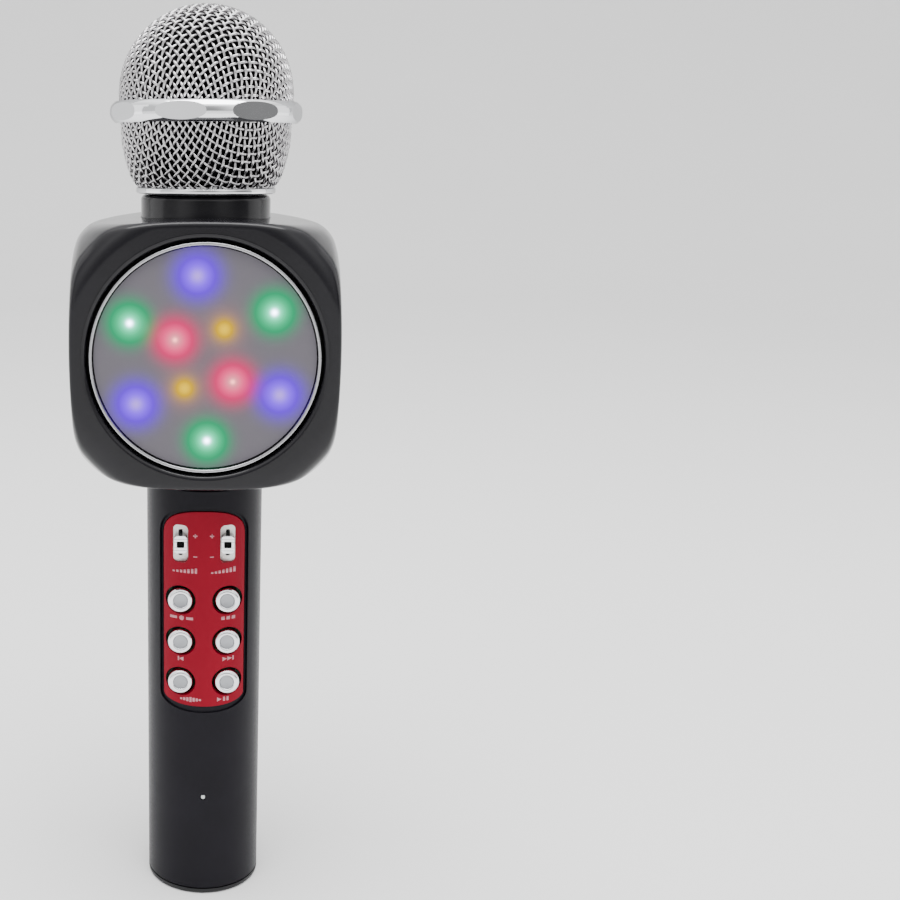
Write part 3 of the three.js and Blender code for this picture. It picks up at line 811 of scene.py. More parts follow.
@dataclass
class SpeakerBox:
    """The square box: two half shells, each with a round opening, and what they hold."""

    height: float = field(default_factory=lambda: node_middle("front_trim_ring").z)
    half_width: float = 37.0
    side_taper: float = 2.1
    half_tall: float = 34.9
    half_depth: float = 36.0
    corner: float = 4.0
    bow: float = 240.0
    wall: float = 2.5
    face_wall: float = 5.2
    drum_edge: float = 39.7
    drum_middle: float = 46.3
    crease: float = 1.8
    face_fillet: float = 1.3
    drum_fillet: float = 4.5
    opening: float = 30.7
    opening_depth: float = 3.2
    ledge: float = 26.8
    trim_width: float = 0.9
    lip: float = 1.2
    seam: float = 0.12
    pivot: float = 20.0
    round_steps: int = 288
    hole_pitch: float = 2.3
    hole_margin: float = 1.6
    hole_web: float = 0.42
    hole_weld: float = 0.02
    grille_thickness: float = 0.7

    def build(self) -> None:
        """Make every piece of the box."""
        self.build_shells()
        self.build_throat()
        self.build_trims()
        self.build_light_panel()
        self.build_rear_grille()
        self.build_speaker()

    def reach(self, x: np.ndarray, y: np.ndarray, z: np.ndarray, inset: float, depth: float) -> np.ndarray:
        """Tell how far points stand outside the box's surface.

        Args:
            x: distances across, from the box's centre.
            y: distances along the depth.
            z: distances up.
            inset: how far the surface is shrunk.
            depth: the surface's half depth.

        Returns:
            Distances, negative inside.
        """

        def bowed(t: np.ndarray) -> np.ndarray:
            """How far a bowed side has drawn in at t."""
            return self.bow - np.sqrt(self.bow**2 - np.clip(t, -60, 60) ** 2)

        def rounded(a: np.ndarray, b: np.ndarray, radius: float) -> np.ndarray:
            """Two distances joined through a round corner."""
            outside = np.hypot(np.maximum(a + radius, 0), np.maximum(b + radius, 0))
            return np.minimum(np.maximum(a, b), -radius) + outside

        deep = (np.minimum(np.abs(y), self.half_depth) / self.half_depth) ** 2
        sides = np.abs(x) - (self.half_width - self.side_taper * deep - inset - bowed(z))
        ends = np.abs(z) - (self.half_tall - inset - bowed(x))
        drum_radius = np.sqrt(self.drum_middle**2 - (self.drum_middle**2 - self.drum_edge**2) * deep)
        drum = np.hypot(x, z) - (drum_radius - inset)
        square = rounded(sides, ends, max(self.corner - inset, 2.0))
        face = np.abs(y) - depth
        flat_sided = rounded(square, face, self.face_fillet)
        return rounded(flat_sided, rounded(drum, face, self.drum_fillet), self.crease)

    def meridian(self) -> list[Point2]:
        """The shell's section from the seam round to the seam again, before it is fitted.

        Points 60 from the pivot are fitted to the outside and points 5 from it to the inside.

        Returns:
            Radius and depth pairs.
        """
        rim = self.opening + self.lip
        floor = self.half_depth - self.opening_depth
        inner_floor = self.half_depth - self.face_wall
        last = degrees(atan2(self.half_depth - self.seam, rim - self.pivot))
        inner_last = degrees(atan2(inner_floor - self.seam, self.ledge + 2 - self.pivot))
        turns = [*np.linspace(0, 48, 22), *np.linspace(48.6, last, 62)]
        inner_turns = np.linspace(inner_last, 0, 22)
        spokes = [(self.pivot + 60 * cos(radians(a)), self.seam + 60 * sin(radians(a))) for a in turns[:-1]]
        hooks = [(self.pivot + 5 * cos(radians(a)), self.seam + 5 * sin(radians(a))) for a in inner_turns]
        lip = arc((rim, self.half_depth - self.lip), self.lip, 90, 180, 6)
        return [
            *spokes,
            *lip,
            (self.opening, floor),
            (self.ledge, floor),
            (self.ledge, inner_floor),
            *hooks,
        ]

    def half_shell(self, name: str, side: int) -> bpy.types.Object:
        """Make one half of the box.

        Args:
            name: the piece's name.
            side: -1 for the front, 1 for the rear.

        Returns:
            The closed shell.
        """
        section = [(radius, side * depth) for radius, depth in self.meridian()]
        shell = Bench.turned(name, section, Axis.ALONG_Y, (0.0, self.height), self.round_steps)
        count = len(shell.data.vertices)
        place = np.zeros(count * 3)
        shell.data.vertices.foreach_get("co", place)
        place = place.reshape(-1, 3) / MM
        x, y, z = place[:, 0], side * place[:, 1], place[:, 2] - self.height
        radius = np.maximum(np.hypot(x, z), 1e-9)
        ahead = np.stack([radius - self.pivot, y - self.seam], axis=1)
        away = np.hypot(ahead[:, 0], ahead[:, 1])
        for distance, inset, depth in (
            (60.0, 0.0, self.half_depth),
            (5.0, self.wall, self.half_depth - self.face_wall),
        ):
            chosen = np.abs(away - distance) < 0.02
            direction = ahead[chosen] / away[chosen, None]
            spin = np.stack([x[chosen] / radius[chosen], z[chosen] / radius[chosen]], axis=1)
            low, high = np.full(chosen.sum(), 0.5), np.full(chosen.sum(), 60.0)
            for _ in range(40):
                middle = (low + high) / 2
                out = self.pivot + middle * direction[:, 0]
                deep = self.seam + middle * direction[:, 1]
                outside = self.reach(out * spin[:, 0], deep, out * spin[:, 1], inset, depth) > 0
                high = np.where(outside, middle, high)
                low = np.where(outside, low, middle)
            out = self.pivot + high * direction[:, 0]
            place[chosen, 0] = out * spin[:, 0]
            place[chosen, 1] = side * (self.seam + high * direction[:, 1])
            place[chosen, 2] = self.height + out * spin[:, 1]
        shell.data.vertices.foreach_set("co", (place * MM).ravel())
        shell.data.update()
        return shell

    def build_shells(self) -> None:
        """Make both halves, open them for the neck and handle, and sink the rear screw wells."""
        neck = node_box("neck_collar")[0].z
        for name, side in (("front_shell", -1), ("rear_shell", 1)):
            shell = self.half_shell(name + "_case", side)
            Bench.carve(shell, Bench.turned("neck_hole", rod(16.1, neck - 5, neck + 20), steps=96))
            Bench.carve(shell, Bench.turned("neck_seat", rod(18.05, neck + 3.2, neck + 20), steps=96))
            Bench.carve(shell, Bench.turned("handle_hole", rod(15.4, 110, 140), steps=96))
            if side > 0:
                for _, x, z in self.wells():
                    hole = Bench.turned("well", rod(2.5, 20, 50), Axis.ALONG_Y, (x, z), 32)
                    Bench.carve(shell, hole)
            Bench.keep_creases(shell, 38)
            Bench.hand_over(shell, Coat.GLOSS_BLACK, "box_gloss_black", Body.ENCLOSURE, name)
        for number, x, z in self.wells():
            tube = [(2.5, 6.0), (3.4, 6.0), (3.4, 32.0), (2.5, 32.0)]
            boss = Bench.turned(f"shell_boss_{number}", tube, Axis.ALONG_Y, (x, z), 32)
            Bench.keep_creases(boss)
            Bench.hand_over(boss, Coat.PLASTIC, "box_gloss_black", Body.ENCLOSURE)

    def wells(self) -> list[tuple[int, float, float]]:
        """Give each rear screw well's number and centre.

        Returns:
            Number, x and z, read from the frame's screws.
        """
        names = sorted(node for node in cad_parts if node.startswith("shell_screw_"))
        middles = [node_middle(name) for name in names]
        return [(i + 1, middle.x, middle.z) for i, middle in enumerate(middles)]

    def build_throat(self) -> None:
        """Make the flare that carries the box on the handle."""
        low = 124.9
        seat = self.height - self.half_tall
        flare = arc((23.6, low + 0.5), seat - low - 0.3, 168, 92, 12)
        high = seat + 1.0
        profile = [(15.5, low), (16.9, low), (17.0, low + 0.3), *flare, (24.0, high), (15.5, high)]
        Bench.lathe(
            "box_throat", profile, Coat.CHARCOAL, "box_gloss_black", Body.ENCLOSURE, steps=160, crease=40
        )

    def build_trims(self) -> None:
        """Make the silver rim rings, and the near-black rings of painted shade on the channel floors round
        them.
        """
        for name, side in (("front", -1), ("rear", 1)):
            low, high = node_box(f"{name}_trim_ring")
            outer = (high.x - low.x) / 2
            face = max(abs(low.y), abs(high.y))
            seat = min(abs(low.y), abs(high.y))
            ring = [
                (outer - self.trim_width, seat),
                (outer, seat),
                *arc((outer - 0.4, face - 0.4), 0.4, 0, 90, 4),
                *arc((outer - self.trim_width + 0.4, face - 0.4), 0.4, 90, 180, 4),
            ]
            trim = [(r, side * y) for r, y in ring]
            Bench.lathe(
                f"{name}_rim", trim, Coat.SILVER, "chrome_trim", Body.ENCLOSURE, f"{name}_trim_ring",
                axis=Axis.ALONG_Y, centre=(0, self.height), steps=192, crease=50,
            )
            # Painted shade: a near-black ring on the floor of the gap between the rim and the shell's
            # opening.
            near, far = side * (seat - 0.1), side * (seat + 0.1)
            channel = [(outer, near), (self.opening, near), (self.opening, far), (outer, far)]
            floor = Bench.turned(f"{name}_channel", channel, Axis.ALONG_Y, (0, self.height))
            Bench.hand_over(floor, Coat.PAINTED_SHADE, "box_gloss_black", Body.ENCLOSURE)

    def build_light_panel(self) -> None:
        """Make the smoked sheet in front of the lamps, slightly crowned."""
        low, high = node_box("front_light_panel")
        radius = (high.x - low.x) / 2
        rise = 0.5
        crown = [(radius * sin(radians(a)), low.y - rise * cos(radians(a)) ** 2) for a in range(0, 91, 9)]
        Bench.lathe(
            "light_panel_sheet", [*crown, (radius, high.y), (0, high.y)],
            Coat.SMOKED, "light_panel", Body.ENCLOSURE, "front_light_panel",
            axis=Axis.ALONG_Y, centre=(0, self.height), steps=160,
        )

    def build_rear_grille(self) -> None:
        """Make the perforated sheet over the speaker: a honeycomb of holes in a plain border."""
        low, high = node_box("rear_speaker_grille")
        radius = (high.x - low.x) / 2
        pitch, rise = self.hole_pitch, self.hole_pitch * sin(radians(60))
        upright = Matrix.Rotation(pi / 2, 4, "X") @ Matrix.Rotation(pi / 6, 4, "Z")
        corner = pitch / sqrt(3)
        mesh = bmesh.new()
        rows = int(radius / rise) + 1
        for row in range(-rows, rows + 1):
            z = row * rise
            for column in range(-rows - 2, rows + 3):
                x = (column + (row % 2) / 2) * pitch
                if hypot(x, z) < radius - self.hole_margin:
                    turn = Matrix.Translation((x, 0, z)) @ upright
                    bmesh.ops.create_circle(mesh, cap_ends=True, radius=corner, segments=6, matrix=turn)
        bmesh.ops.remove_doubles(mesh, verts=mesh.verts, dist=self.hole_weld)
        cells = list(mesh.faces)
        holes = bmesh.ops.inset_individual(mesh, faces=cells, thickness=self.hole_web, use_even_offset=True)
        rims = set(holes["faces"])
        bmesh.ops.delete(mesh, geom=[f for f in mesh.faces if f not in rims], context="FACES")
        bmesh.ops.translate(mesh, verts=mesh.verts, vec=(0, high.y, self.height))
        grille = Bench.hold(mesh, "speaker_grille_sheet")
        wall = grille.modifiers.new("sheet", "SOLIDIFY")
        wall.thickness = self.grille_thickness * MM
        wall.offset = 0.0
        Bench.keep_creases(grille)
        Bench.hand_over(grille, Coat.GRILLE, "speaker_mesh", Body.ENCLOSURE, "rear_speaker_grille")
        border = [
            (radius - 2.2, high.y - 0.5),
            (radius, high.y - 0.5),
            (radius, high.y + 0.5),
            (radius - 2.0, high.y + 0.5),
        ]
        ring = Bench.turned("speaker_grille_border", border, Axis.ALONG_Y, (0, self.height), 160)
        Bench.soften(ring, 0.15)
        Bench.hand_over(ring, Coat.GRILLE, "speaker_mesh", Body.ENCLOSURE)

    def build_speaker(self) -> None:
        """Make the speaker's turned pieces finer than the frame's."""
        pieces: list[tuple[str, list[Point2], Finish, str, Body]] = [
            (
                "speaker_basket",
                [
                    (14.4, 14.9), (15.6, 14.9), (25.2, 27.6), (29.4, 27.6), (29.4, 30.4), (25.6, 30.4),
                    (25.6, 29), (24.4, 28.4), (14.4, 16),
                ],
                Coat.SPUN_STEEL, "steel_hardware", Body.ENCLOSURE,
            ),
            (
                "speaker_surround",
                [(22.6, 28.2), (22.6, 29.2), *arc((23.9, 29.4), 1.4, 170, 10, 8), (25.2, 29.0)],
                Coat.RUBBER, "soft_rubber", Body.ENCLOSURE,
            ),
            (
                "speaker_cone",
                [
                    (6.6, 19.4), (7.6, 19.0), *arc((2.0, 46.5), 27.2, -76, -43.5, 8), (22.2, 27.6),
                    (22.2, 28), (21.4, 28), *arc((2.0, 46.8), 26.8, -44.5, -76.5, 8), (6.6, 19.9),
                ],
                Coat.PAPER, "cone_paper", Body.DIAPHRAGM,
            ),
            (
                "speaker_dust_cap",
                [
                    (0, 22.6),
                    *[(7.2 * sin(radians(a)), 20.3 + 2.3 * cos(radians(a))) for a in range(12, 91, 13)],
                    (6.6, 20.2), (0, 22.0),
                ],
                Coat.PAPER, "cone_paper", Body.DIAPHRAGM,
            ),
            (
                "voice_coil", [(6.6, 9), (7.4, 9), (7.4, 18.6), (6.6, 18.6)],
                Coat.BRASS, "brass_contact", Body.DIAPHRAGM,
            ),
            (
                "speaker_magnet",
                [
                    (0, 4), (13.4, 4), (13.8, 4.4), (13.8, 15.2), (7.8, 15.2), (7.8, 7), (6.2, 7),
                    (6.2, 15.2), (0, 15.2),
                ],
                Coat.PLASTIC, "dark_plastic", Body.ENCLOSURE,
            ),
        ]
        for name, profile, finish, slot, body in pieces:
            Bench.lathe(
                name + "_turned", profile, finish, slot, body, name,
                axis=Axis.ALONG_Y, centre=(0, self.height), steps=96, crease=40,
            )


def rod(radius: float, low: float, high: float) -> list[Point2]:
    """The profile of a plain rod."""
    return [(0, low), (radius, low), (radius, high), (0, high)]


# ---- handle -------------------------------------------------------------------------------------


@dataclass
class ControlHandle:
    """The round grip with its curved control panel, buttons and sliders."""

    radius: float = 16.7
    bore: float = 14.5
    low: float = 1.8
    shoulder: float = 124.6
    spigot: float = 15.2
    spigot_top: float = 134.0
    panel_half_width: float = 11.5
    panel_bottom: float = 60.3
    panel_top: float = 118.6
    top_arch: float = 7.7
    bottom_arch: float = 3.2
    sign_drop: float = 5.3
    step_pitch: float = 1.05
    ink: float = 0.04
    panel_wall: float = 1.7
    recess: float = 0.55
    panel_gap: float = 0.2
    border: float = 1.1
    chin: float = 2.0
    button_hole: float = 4.3
    slot: Point2 = (2.1, 5.5)
    lens_hole: float = 0.9
    rib_pitch: float = 0.82
    steps: int = 224

    def build(self) -> None:
        """Make every piece of the handle."""
        self.build_tube()
        self.build_panel()
        self.build_buttons()
        self.build_sliders()
        self.build_print()
        self.build_end()

    def outline(self, margin: float, bottom_margin: float) -> list[Point2]:
        """The panel's outline: straight sides between two arched ends.

        Args:
            margin: how far it is grown at the sides and top.
            bottom_margin: how far it is grown at the bottom.

        Returns:
            The outline's points.
        """
        roundness = 2.5
        count = 20
        half = self.panel_half_width + margin

        def arch(turn: float, base: float, rise: float) -> Point2:
            """A point on an arch that stands on base and is rise high."""
            across = abs(cos(turn)) ** (2 / roundness) * (1 if cos(turn) > 0 else -1)
            return (half * across, base + rise * abs(sin(turn)) ** (2 / roundness))

        turns = [pi * i / (2 * count) for i in range(2 * count + 1)]
        top = [arch(t, self.panel_top - self.top_arch, self.top_arch + margin) for t in turns]
        base = self.panel_bottom + self.bottom_arch
        bottom = [arch(t, base, -self.bottom_arch - bottom_margin) for t in reversed(turns)]
        return top + bottom

    def curved(self, inner: float, outer: float) -> bpy.types.Object:
        """A ring about the handle's axis, for cutting and keeping curved plates.

        Args:
            inner: its inner radius.
            outer: its outer radius.

        Returns:
            The ring.
        """
        section = [(inner, BEND_LOW), (outer, BEND_LOW), (outer, BEND_HIGH), (inner, BEND_HIGH)]
        return Bench.turned("bend", section, steps=self.steps)

    def build_tube(self) -> None:
        """Make the grip, with its window and the shallow border round it."""
        tube = Bench.turned(
            "handle_grip",
            [
                (self.bore, self.low),
                (self.radius - 0.15, self.low),
                (self.radius, self.low + 0.15),
                (self.radius, self.shoulder - 0.25),
                (self.radius - 0.25, self.shoulder),
                (self.spigot, self.shoulder),
                (self.spigot, self.spigot_top),
                (13.7, self.spigot_top),
                (13.7, 122),
                (self.bore, 121),
            ],
            steps=self.steps,
        )
        gap = self.panel_gap
        Bench.carve(tube, Bench.slab("window", self.outline(gap, gap), AHEAD, BEHIND_PLATE))
        border = Bench.slab("border", self.outline(self.border, self.chin), AHEAD, BEHIND_PLATE)
        Bench.carve(border, self.curved(self.radius - self.recess, self.radius + 5.3), Cut.KEEP_COMMON)
        Bench.carve(tube, border)
        lens = node_middle("indicator_lens")
        hole = rod(self.lens_hole, AHEAD, -10)
        Bench.carve(tube, Bench.turned("lens_hole", hole, Axis.ALONG_Y, (lens.x, lens.z), 24))
        Bench.keep_creases(tube, 30)
        Bench.hand_over(tube, Coat.CHARCOAL, "handle_satin_black", Body.ENCLOSURE, "handle_tube")

    def build_panel(self) -> None:
        """Make the curved red plate with its button holes and slider slots."""
        plate = Bench.slab("control_plate", self.outline(0, 0), AHEAD, BEHIND_PLATE)
        Bench.carve(plate, self.curved(self.radius - self.panel_wall, self.radius), Cut.KEEP_COMMON)
        hole = rod(self.button_hole, AHEAD, BEHIND_HOLES)
        for button in self.buttons():
            middle = node_middle(button)
            Bench.carve(plate, Bench.turned("hole", hole, Axis.ALONG_Y, (middle.x, middle.z), 64))
        for slider in self.sliders():
            middle = node_middle(slider)
            outline = rounded_rectangle(*self.slot, 1.4, (middle.x, middle.z))
            Bench.carve(plate, Bench.slab("slot", outline, AHEAD, BEHIND_HOLES))
        Bench.soften(plate, 0.16, 40)
        Bench.hand_over(plate, Coat.RED, "panel_red", Body.ENCLOSURE, "control_panel")

    def buttons(self) -> list[str]:
        """The frame's button nodes."""
        return sorted(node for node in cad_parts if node.endswith("_button"))

    def sliders(self) -> list[str]:
        """The frame's slider nodes."""
        return sorted(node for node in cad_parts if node.endswith("_slider"))

    def build_buttons(self) -> None:
        """Make each push button: a chrome rim round a dished grey cap."""
        for node in self.buttons():
            low, high = node_box(node)
            middle = (low + high) / 2
            radius = (high.x - low.x) / 2
            face = low.y
            rim = [
                (0, face + 1.1),
                (1.75, face + 0.95),
                (1.95, face + 0.55),
                *arc((2.5, face + 0.5), 0.5, 180, 270, 4),
                *arc((radius - 1.0, face + 1.0), 1.0, 270, 360, 6),
                (radius, BUTTON_BACK),
                (1.6, BUTTON_BACK + 0.2),
                (1.6, PLUNGER_BACK),
                (0, PLUNGER_BACK),
            ]
            place = (middle.x, middle.z)
            Bench.lathe(
                node + "_rim", rim, Coat.CHROME, "chrome_trim", node, node,
                axis=Axis.ALONG_Y, centre=place, steps=64, crease=50,
            )
            sines = [sin(radians(a)) for a in range(0, 91, 15)]
            dish = [(1.9 * sine, face + 0.75 - 0.3 * sine**2) for sine in sines]
            Bench.lathe(
                node + "_cap", [*dish, (1.9, face + 1.2), (0, face + 1.2)],
                Coat.GREY_CAP, "steel_hardware", node,
                axis=Axis.ALONG_Y, centre=place, steps=48, crease=50,
            )

    def build_sliders(self) -> None:
        """Make each slider's knob and the silver plate that shows in its slot."""
        for node in self.sliders():
            low, high = node_box(node)
            middle = (low + high) / 2
            half = (high.x - low.x) / 2
            outline = rounded_rectangle(half, (high.z - low.z) / 2, 0.9, (middle.x, middle.z))
            place = (middle.x, middle.z)
            knob = Bench.slab(node + "_knob", outline, low.y, -14.4)
            grip = rounded_rectangle(half * 0.6, 0.95, 0.35, place)
            Bench.carve(knob, Bench.slab("grip", grip, low.y - 1, low.y + 0.75))
            for step in (-2, -1, 1, 2):
                rib = rounded_rectangle(half + 1, 0.13, 0.05, (middle.x, middle.z + self.rib_pitch * step))
                Bench.carve(knob, Bench.slab("rib", rib, low.y - 1, low.y + 0.2))
            lever = Bench.slab("lever", rounded_rectangle(0.4, 0.8, 0.1, place), -14.8, -10.6)
            Bench.carve(knob, lever, Cut.JOIN)
            Bench.soften(knob, 0.1)
            Bench.hand_over(knob, Coat.CHROME, "chrome_trim", node, node)
            # Painted shade: a near-black sheet on the floor of the grip pit.
            pit = Bench.slab(node + "_grip_pit_shade", grip, low.y + 0.6, low.y + 0.8)
            Bench.hand_over(pit, Coat.PAINTED_SHADE, "dark_plastic", node)
            outline = rounded_rectangle(2.3, 5.8, 1.3, place)
            plate = Bench.slab(node.replace("slider", "slot_plate"), outline, -13.9, -13.5)
            track = rounded_rectangle(0.55, 3.8, 0.3, place)
            Bench.carve(plate, Bench.slab("track", track, -14.2, -13.2))
            Bench.soften(plate, 0.1)
            Bench.hand_over(plate, Coat.PLATE, "steel_hardware", Body.ENCLOSURE)

    def build_print(self) -> None:
        """Print plain signs beside the sliders and under the controls."""
        top = [node_middle(slider) for slider in self.sliders()][0].z + 2.6
        bar = rounded_rectangle
        signs: list[list[Point2]] = []
        for x in (-2.5, 2.2):
            signs += [bar(0.6, 0.17, 0.05, (x, top)), bar(0.17, 0.6, 0.05, (x, top))]
            signs.append(bar(0.55, 0.15, 0.05, (x, top - 6.1)))
        for slider in self.sliders():
            middle = node_middle(slider)
            left = middle.x - (1.2 if middle.x > 0 else -1.2) - 3 * self.step_pitch
            base = middle.z - 8.2
            steps = [(left + self.step_pitch * i, base + 0.09 * i, 0.25 + 0.09 * i) for i in range(7)]
            signs += [bar(0.33, half, 0.05, (x, z)) for x, z, half in steps]
        shifts = {"power": 2.9, "play": -0.9}
        for button in self.buttons():
            kind = button.removesuffix("_button")
            middle = node_middle(button)
            signs += self.icon(kind, middle.x + shifts.get(kind, 0.3), middle.z - self.sign_drop)
        for number, sign in enumerate(signs, start=1):
            mark = Bench.slab(f"printed_sign_{number}", sign, AHEAD, BEHIND_PLATE)
            Bench.carve(mark, self.curved(self.radius - 0.1, self.radius + self.ink), Cut.KEEP_COMMON)
            Bench.hand_over(mark, Coat.PRINT, "panel_red", Body.ENCLOSURE)

    @staticmethod
    def icon(kind: str, x: float, z: float) -> list[list[Point2]]:
        """The plain sign under one button.

        Args:
            kind: the button's job.
            x: the sign's middle across.
            z: the sign's middle up.

        Returns:
            One outline for each stroke of the sign.
        """

        def bar(offset: float, half_width: float, half_height: float) -> list[Point2]:
            """A bar that stands offset from the sign's middle."""
            return rounded_rectangle(half_width, half_height, 0.05, (x + offset, z))

        def arrow(offset: float, way: int) -> list[Point2]:
            """A triangle that points to the right, or with a way of -1 to the left."""
            tip, tail, side = x + offset + 0.65 * way, x + offset - 0.65 * way, 0.65 * way
            return [(tail, z - side), (tip, z), (tail, z + side)]

        signs = {
            "record": [arc((x, z), 0.7, 0, 330, 11), bar(-2.3, 1.0, 0.4), bar(2.3, 1.0, 0.4)],
            "mode": [bar(-1.5, 0.5, 0.5), bar(0, 0.5, 0.5), bar(1.5, 0.5, 0.5)],
            "previous": [bar(-0.9, 0.2, 0.65), arrow(-0.1, -1)],
            "next": [arrow(-0.9, 1), arrow(0.5, 1), bar(1.5, 0.2, 0.65)],
            "power": [bar(0.9 * i, 0.33, 0.75 - 0.15 * abs(i)) for i in (-3, -2, -1, 0, 1, 2, 3)],
            "play": [arrow(-1.2, 1), bar(0.2, 0.3, 0.65), bar(1.2, 0.3, 0.65)],
        }
        return signs[kind]

    def build_end(self) -> None:
        """Make the end cap with its socket and screw holes, and the indicator's window."""
        section = [
            (0, 0), (15.9, 0), *arc((15.9, 0.8), 0.8, 270, 360, 6), (16.7, 1.5), (14.2, 1.5), (14.2, 7),
            (12.5, 7), (12.5, 2.6), (0, 2.6),
        ]
        cap = Bench.turned("end_cap_moulding", section, steps=self.steps)
        port = node_middle("charge_port")
        jack = node_middle("audio_jack")
        mouth = rounded_rectangle(4.1, 3.0, 1.2, (port.x, 0))
        Bench.carve(cap, Bench.slab("port_mouth", mouth, port.y - 1.65, port.y + 1.65))
        Bench.carve(cap, Bench.turned("jack_hole", rod(3.2, -1, 5), centre=(jack.x, jack.y), steps=48))
        for screw in ("end_cap_screw_front", "end_cap_screw_rear"):
            place = node_middle(screw)
            hole = Bench.turned("head_hole", rod(2.35, -1, 1.3), centre=(place.x, place.y), steps=48)
            Bench.carve(cap, hole)
        Bench.keep_creases(cap, 35)
        Bench.hand_over(cap, Coat.PLASTIC, "dark_plastic", Body.ENCLOSURE, "end_cap")
        lens = node_box("indicator_lens")
        middle = (lens[0] + lens[1]) / 2
        dome = [(0.62 * sin(radians(a)), lens[0].y + 0.2 - 0.2 * cos(radians(a))) for a in range(0, 91, 15)]
        section = [*dome, (0.62, lens[1].y), (0, lens[1].y)]
        window = Bench.turned("indicator_window", section, Axis.ALONG_Y, (middle.x, middle.z), 24)
        Bench.hand_over(window, Coat.LENS, "indicator_lens", Body.ENCLOSURE, "indicator_lens")


# ---- ball head ----------------------------------------------------------------------------------


@dataclass
class WovenHalf:
    """One half of the ball: a flat square weave pressed over a turned form."""

    name: str
    node: str
    path: Callable[[float], tuple[float, float, float, float]]
    start: float
    end: float
    pitch: float = 2.05
    wire: float = 0.37
    sway: float = 0.33
    turn: float = 30.0
    samples: int = 4

    def spot(self, s: float, t: float, lift: float) -> Vector:
        """Carry a point of the flat sheet on to the form.

        Args:
            s: its place along the first wires.
            t: its place along the second wires.
            lift: how far it stands off the sheet.

        Returns:
            The point in millimetres.
        """
        around = atan2(t, s) + radians(self.turn)
        radius, height, out, up = self.path(max(hypot(s, t), 0.001))
        radius += lift * out
        return Vector((radius * cos(around), radius * sin(around), height + lift * up))

    def build(self) -> None:
        """Weave both families of wires and hand the half over."""
        data = bpy.data.curves.new(self.name, "CURVE")
        data.dimensions = "3D"
        data.bevel_depth = self.wire * MM
        data.bevel_resolution = 1
        data.use_fill_caps = True
        rows = int(self.end / self.pitch)
        step = self.pitch / self.samples
        for family in (0, 1):
            for row in range(-rows, rows + 1):
                across = row * self.pitch
                half = sqrt(max(self.end**2 - across**2, 0.0))
                count = int(half / step)
                run: list[Vector] = []
                for i in range(-count, count + 1):
                    along = i * step
                    if hypot(along, across) < self.start:
                        self.lay(data, run)
                        run = []
                        continue
                    over = cos(pi * along / self.pitch) * (1 if (row + family) % 2 else -1)
                    s, t = (along, across) if family == 0 else (across, along)
                    run.append(self.spot(s, t, self.sway * over))
                self.lay(data, run)
        strands = bpy.data.objects.new(self.name, data)
        bpy.context.scene.collection.objects.link(strands)
        ready = strands.evaluated_get(bpy.context.evaluated_depsgraph_get())
        mesh = bpy.data.meshes.new_from_object(ready)
        bpy.data.objects.remove(strands)
        piece = bpy.data.objects.new(self.name, mesh)
        bpy.context.scene.collection.objects.link(piece)
        for face in mesh.polygons:
            face.use_smooth = True
        Bench.hand_over(piece, Coat.WIRE, "grille_mesh", Body.HEAD, self.node)

    @staticmethod
    def lay(data: bpy.types.Curve, run: list[Vector]) -> None:
        """Add one wire, if it is long enough to show.

        Args:
            data: the curve that holds the wires.
            run: the wire's points in millimetres.
        """
        if len(run) < 3:
            return
        strand = data.splines.new("POLY")
        strand.points.add(len(run) - 1)
        for point, place in zip(strand.points, run):
            point.co = (*(place * MM), 1.0)
        strand.use_smooth = True


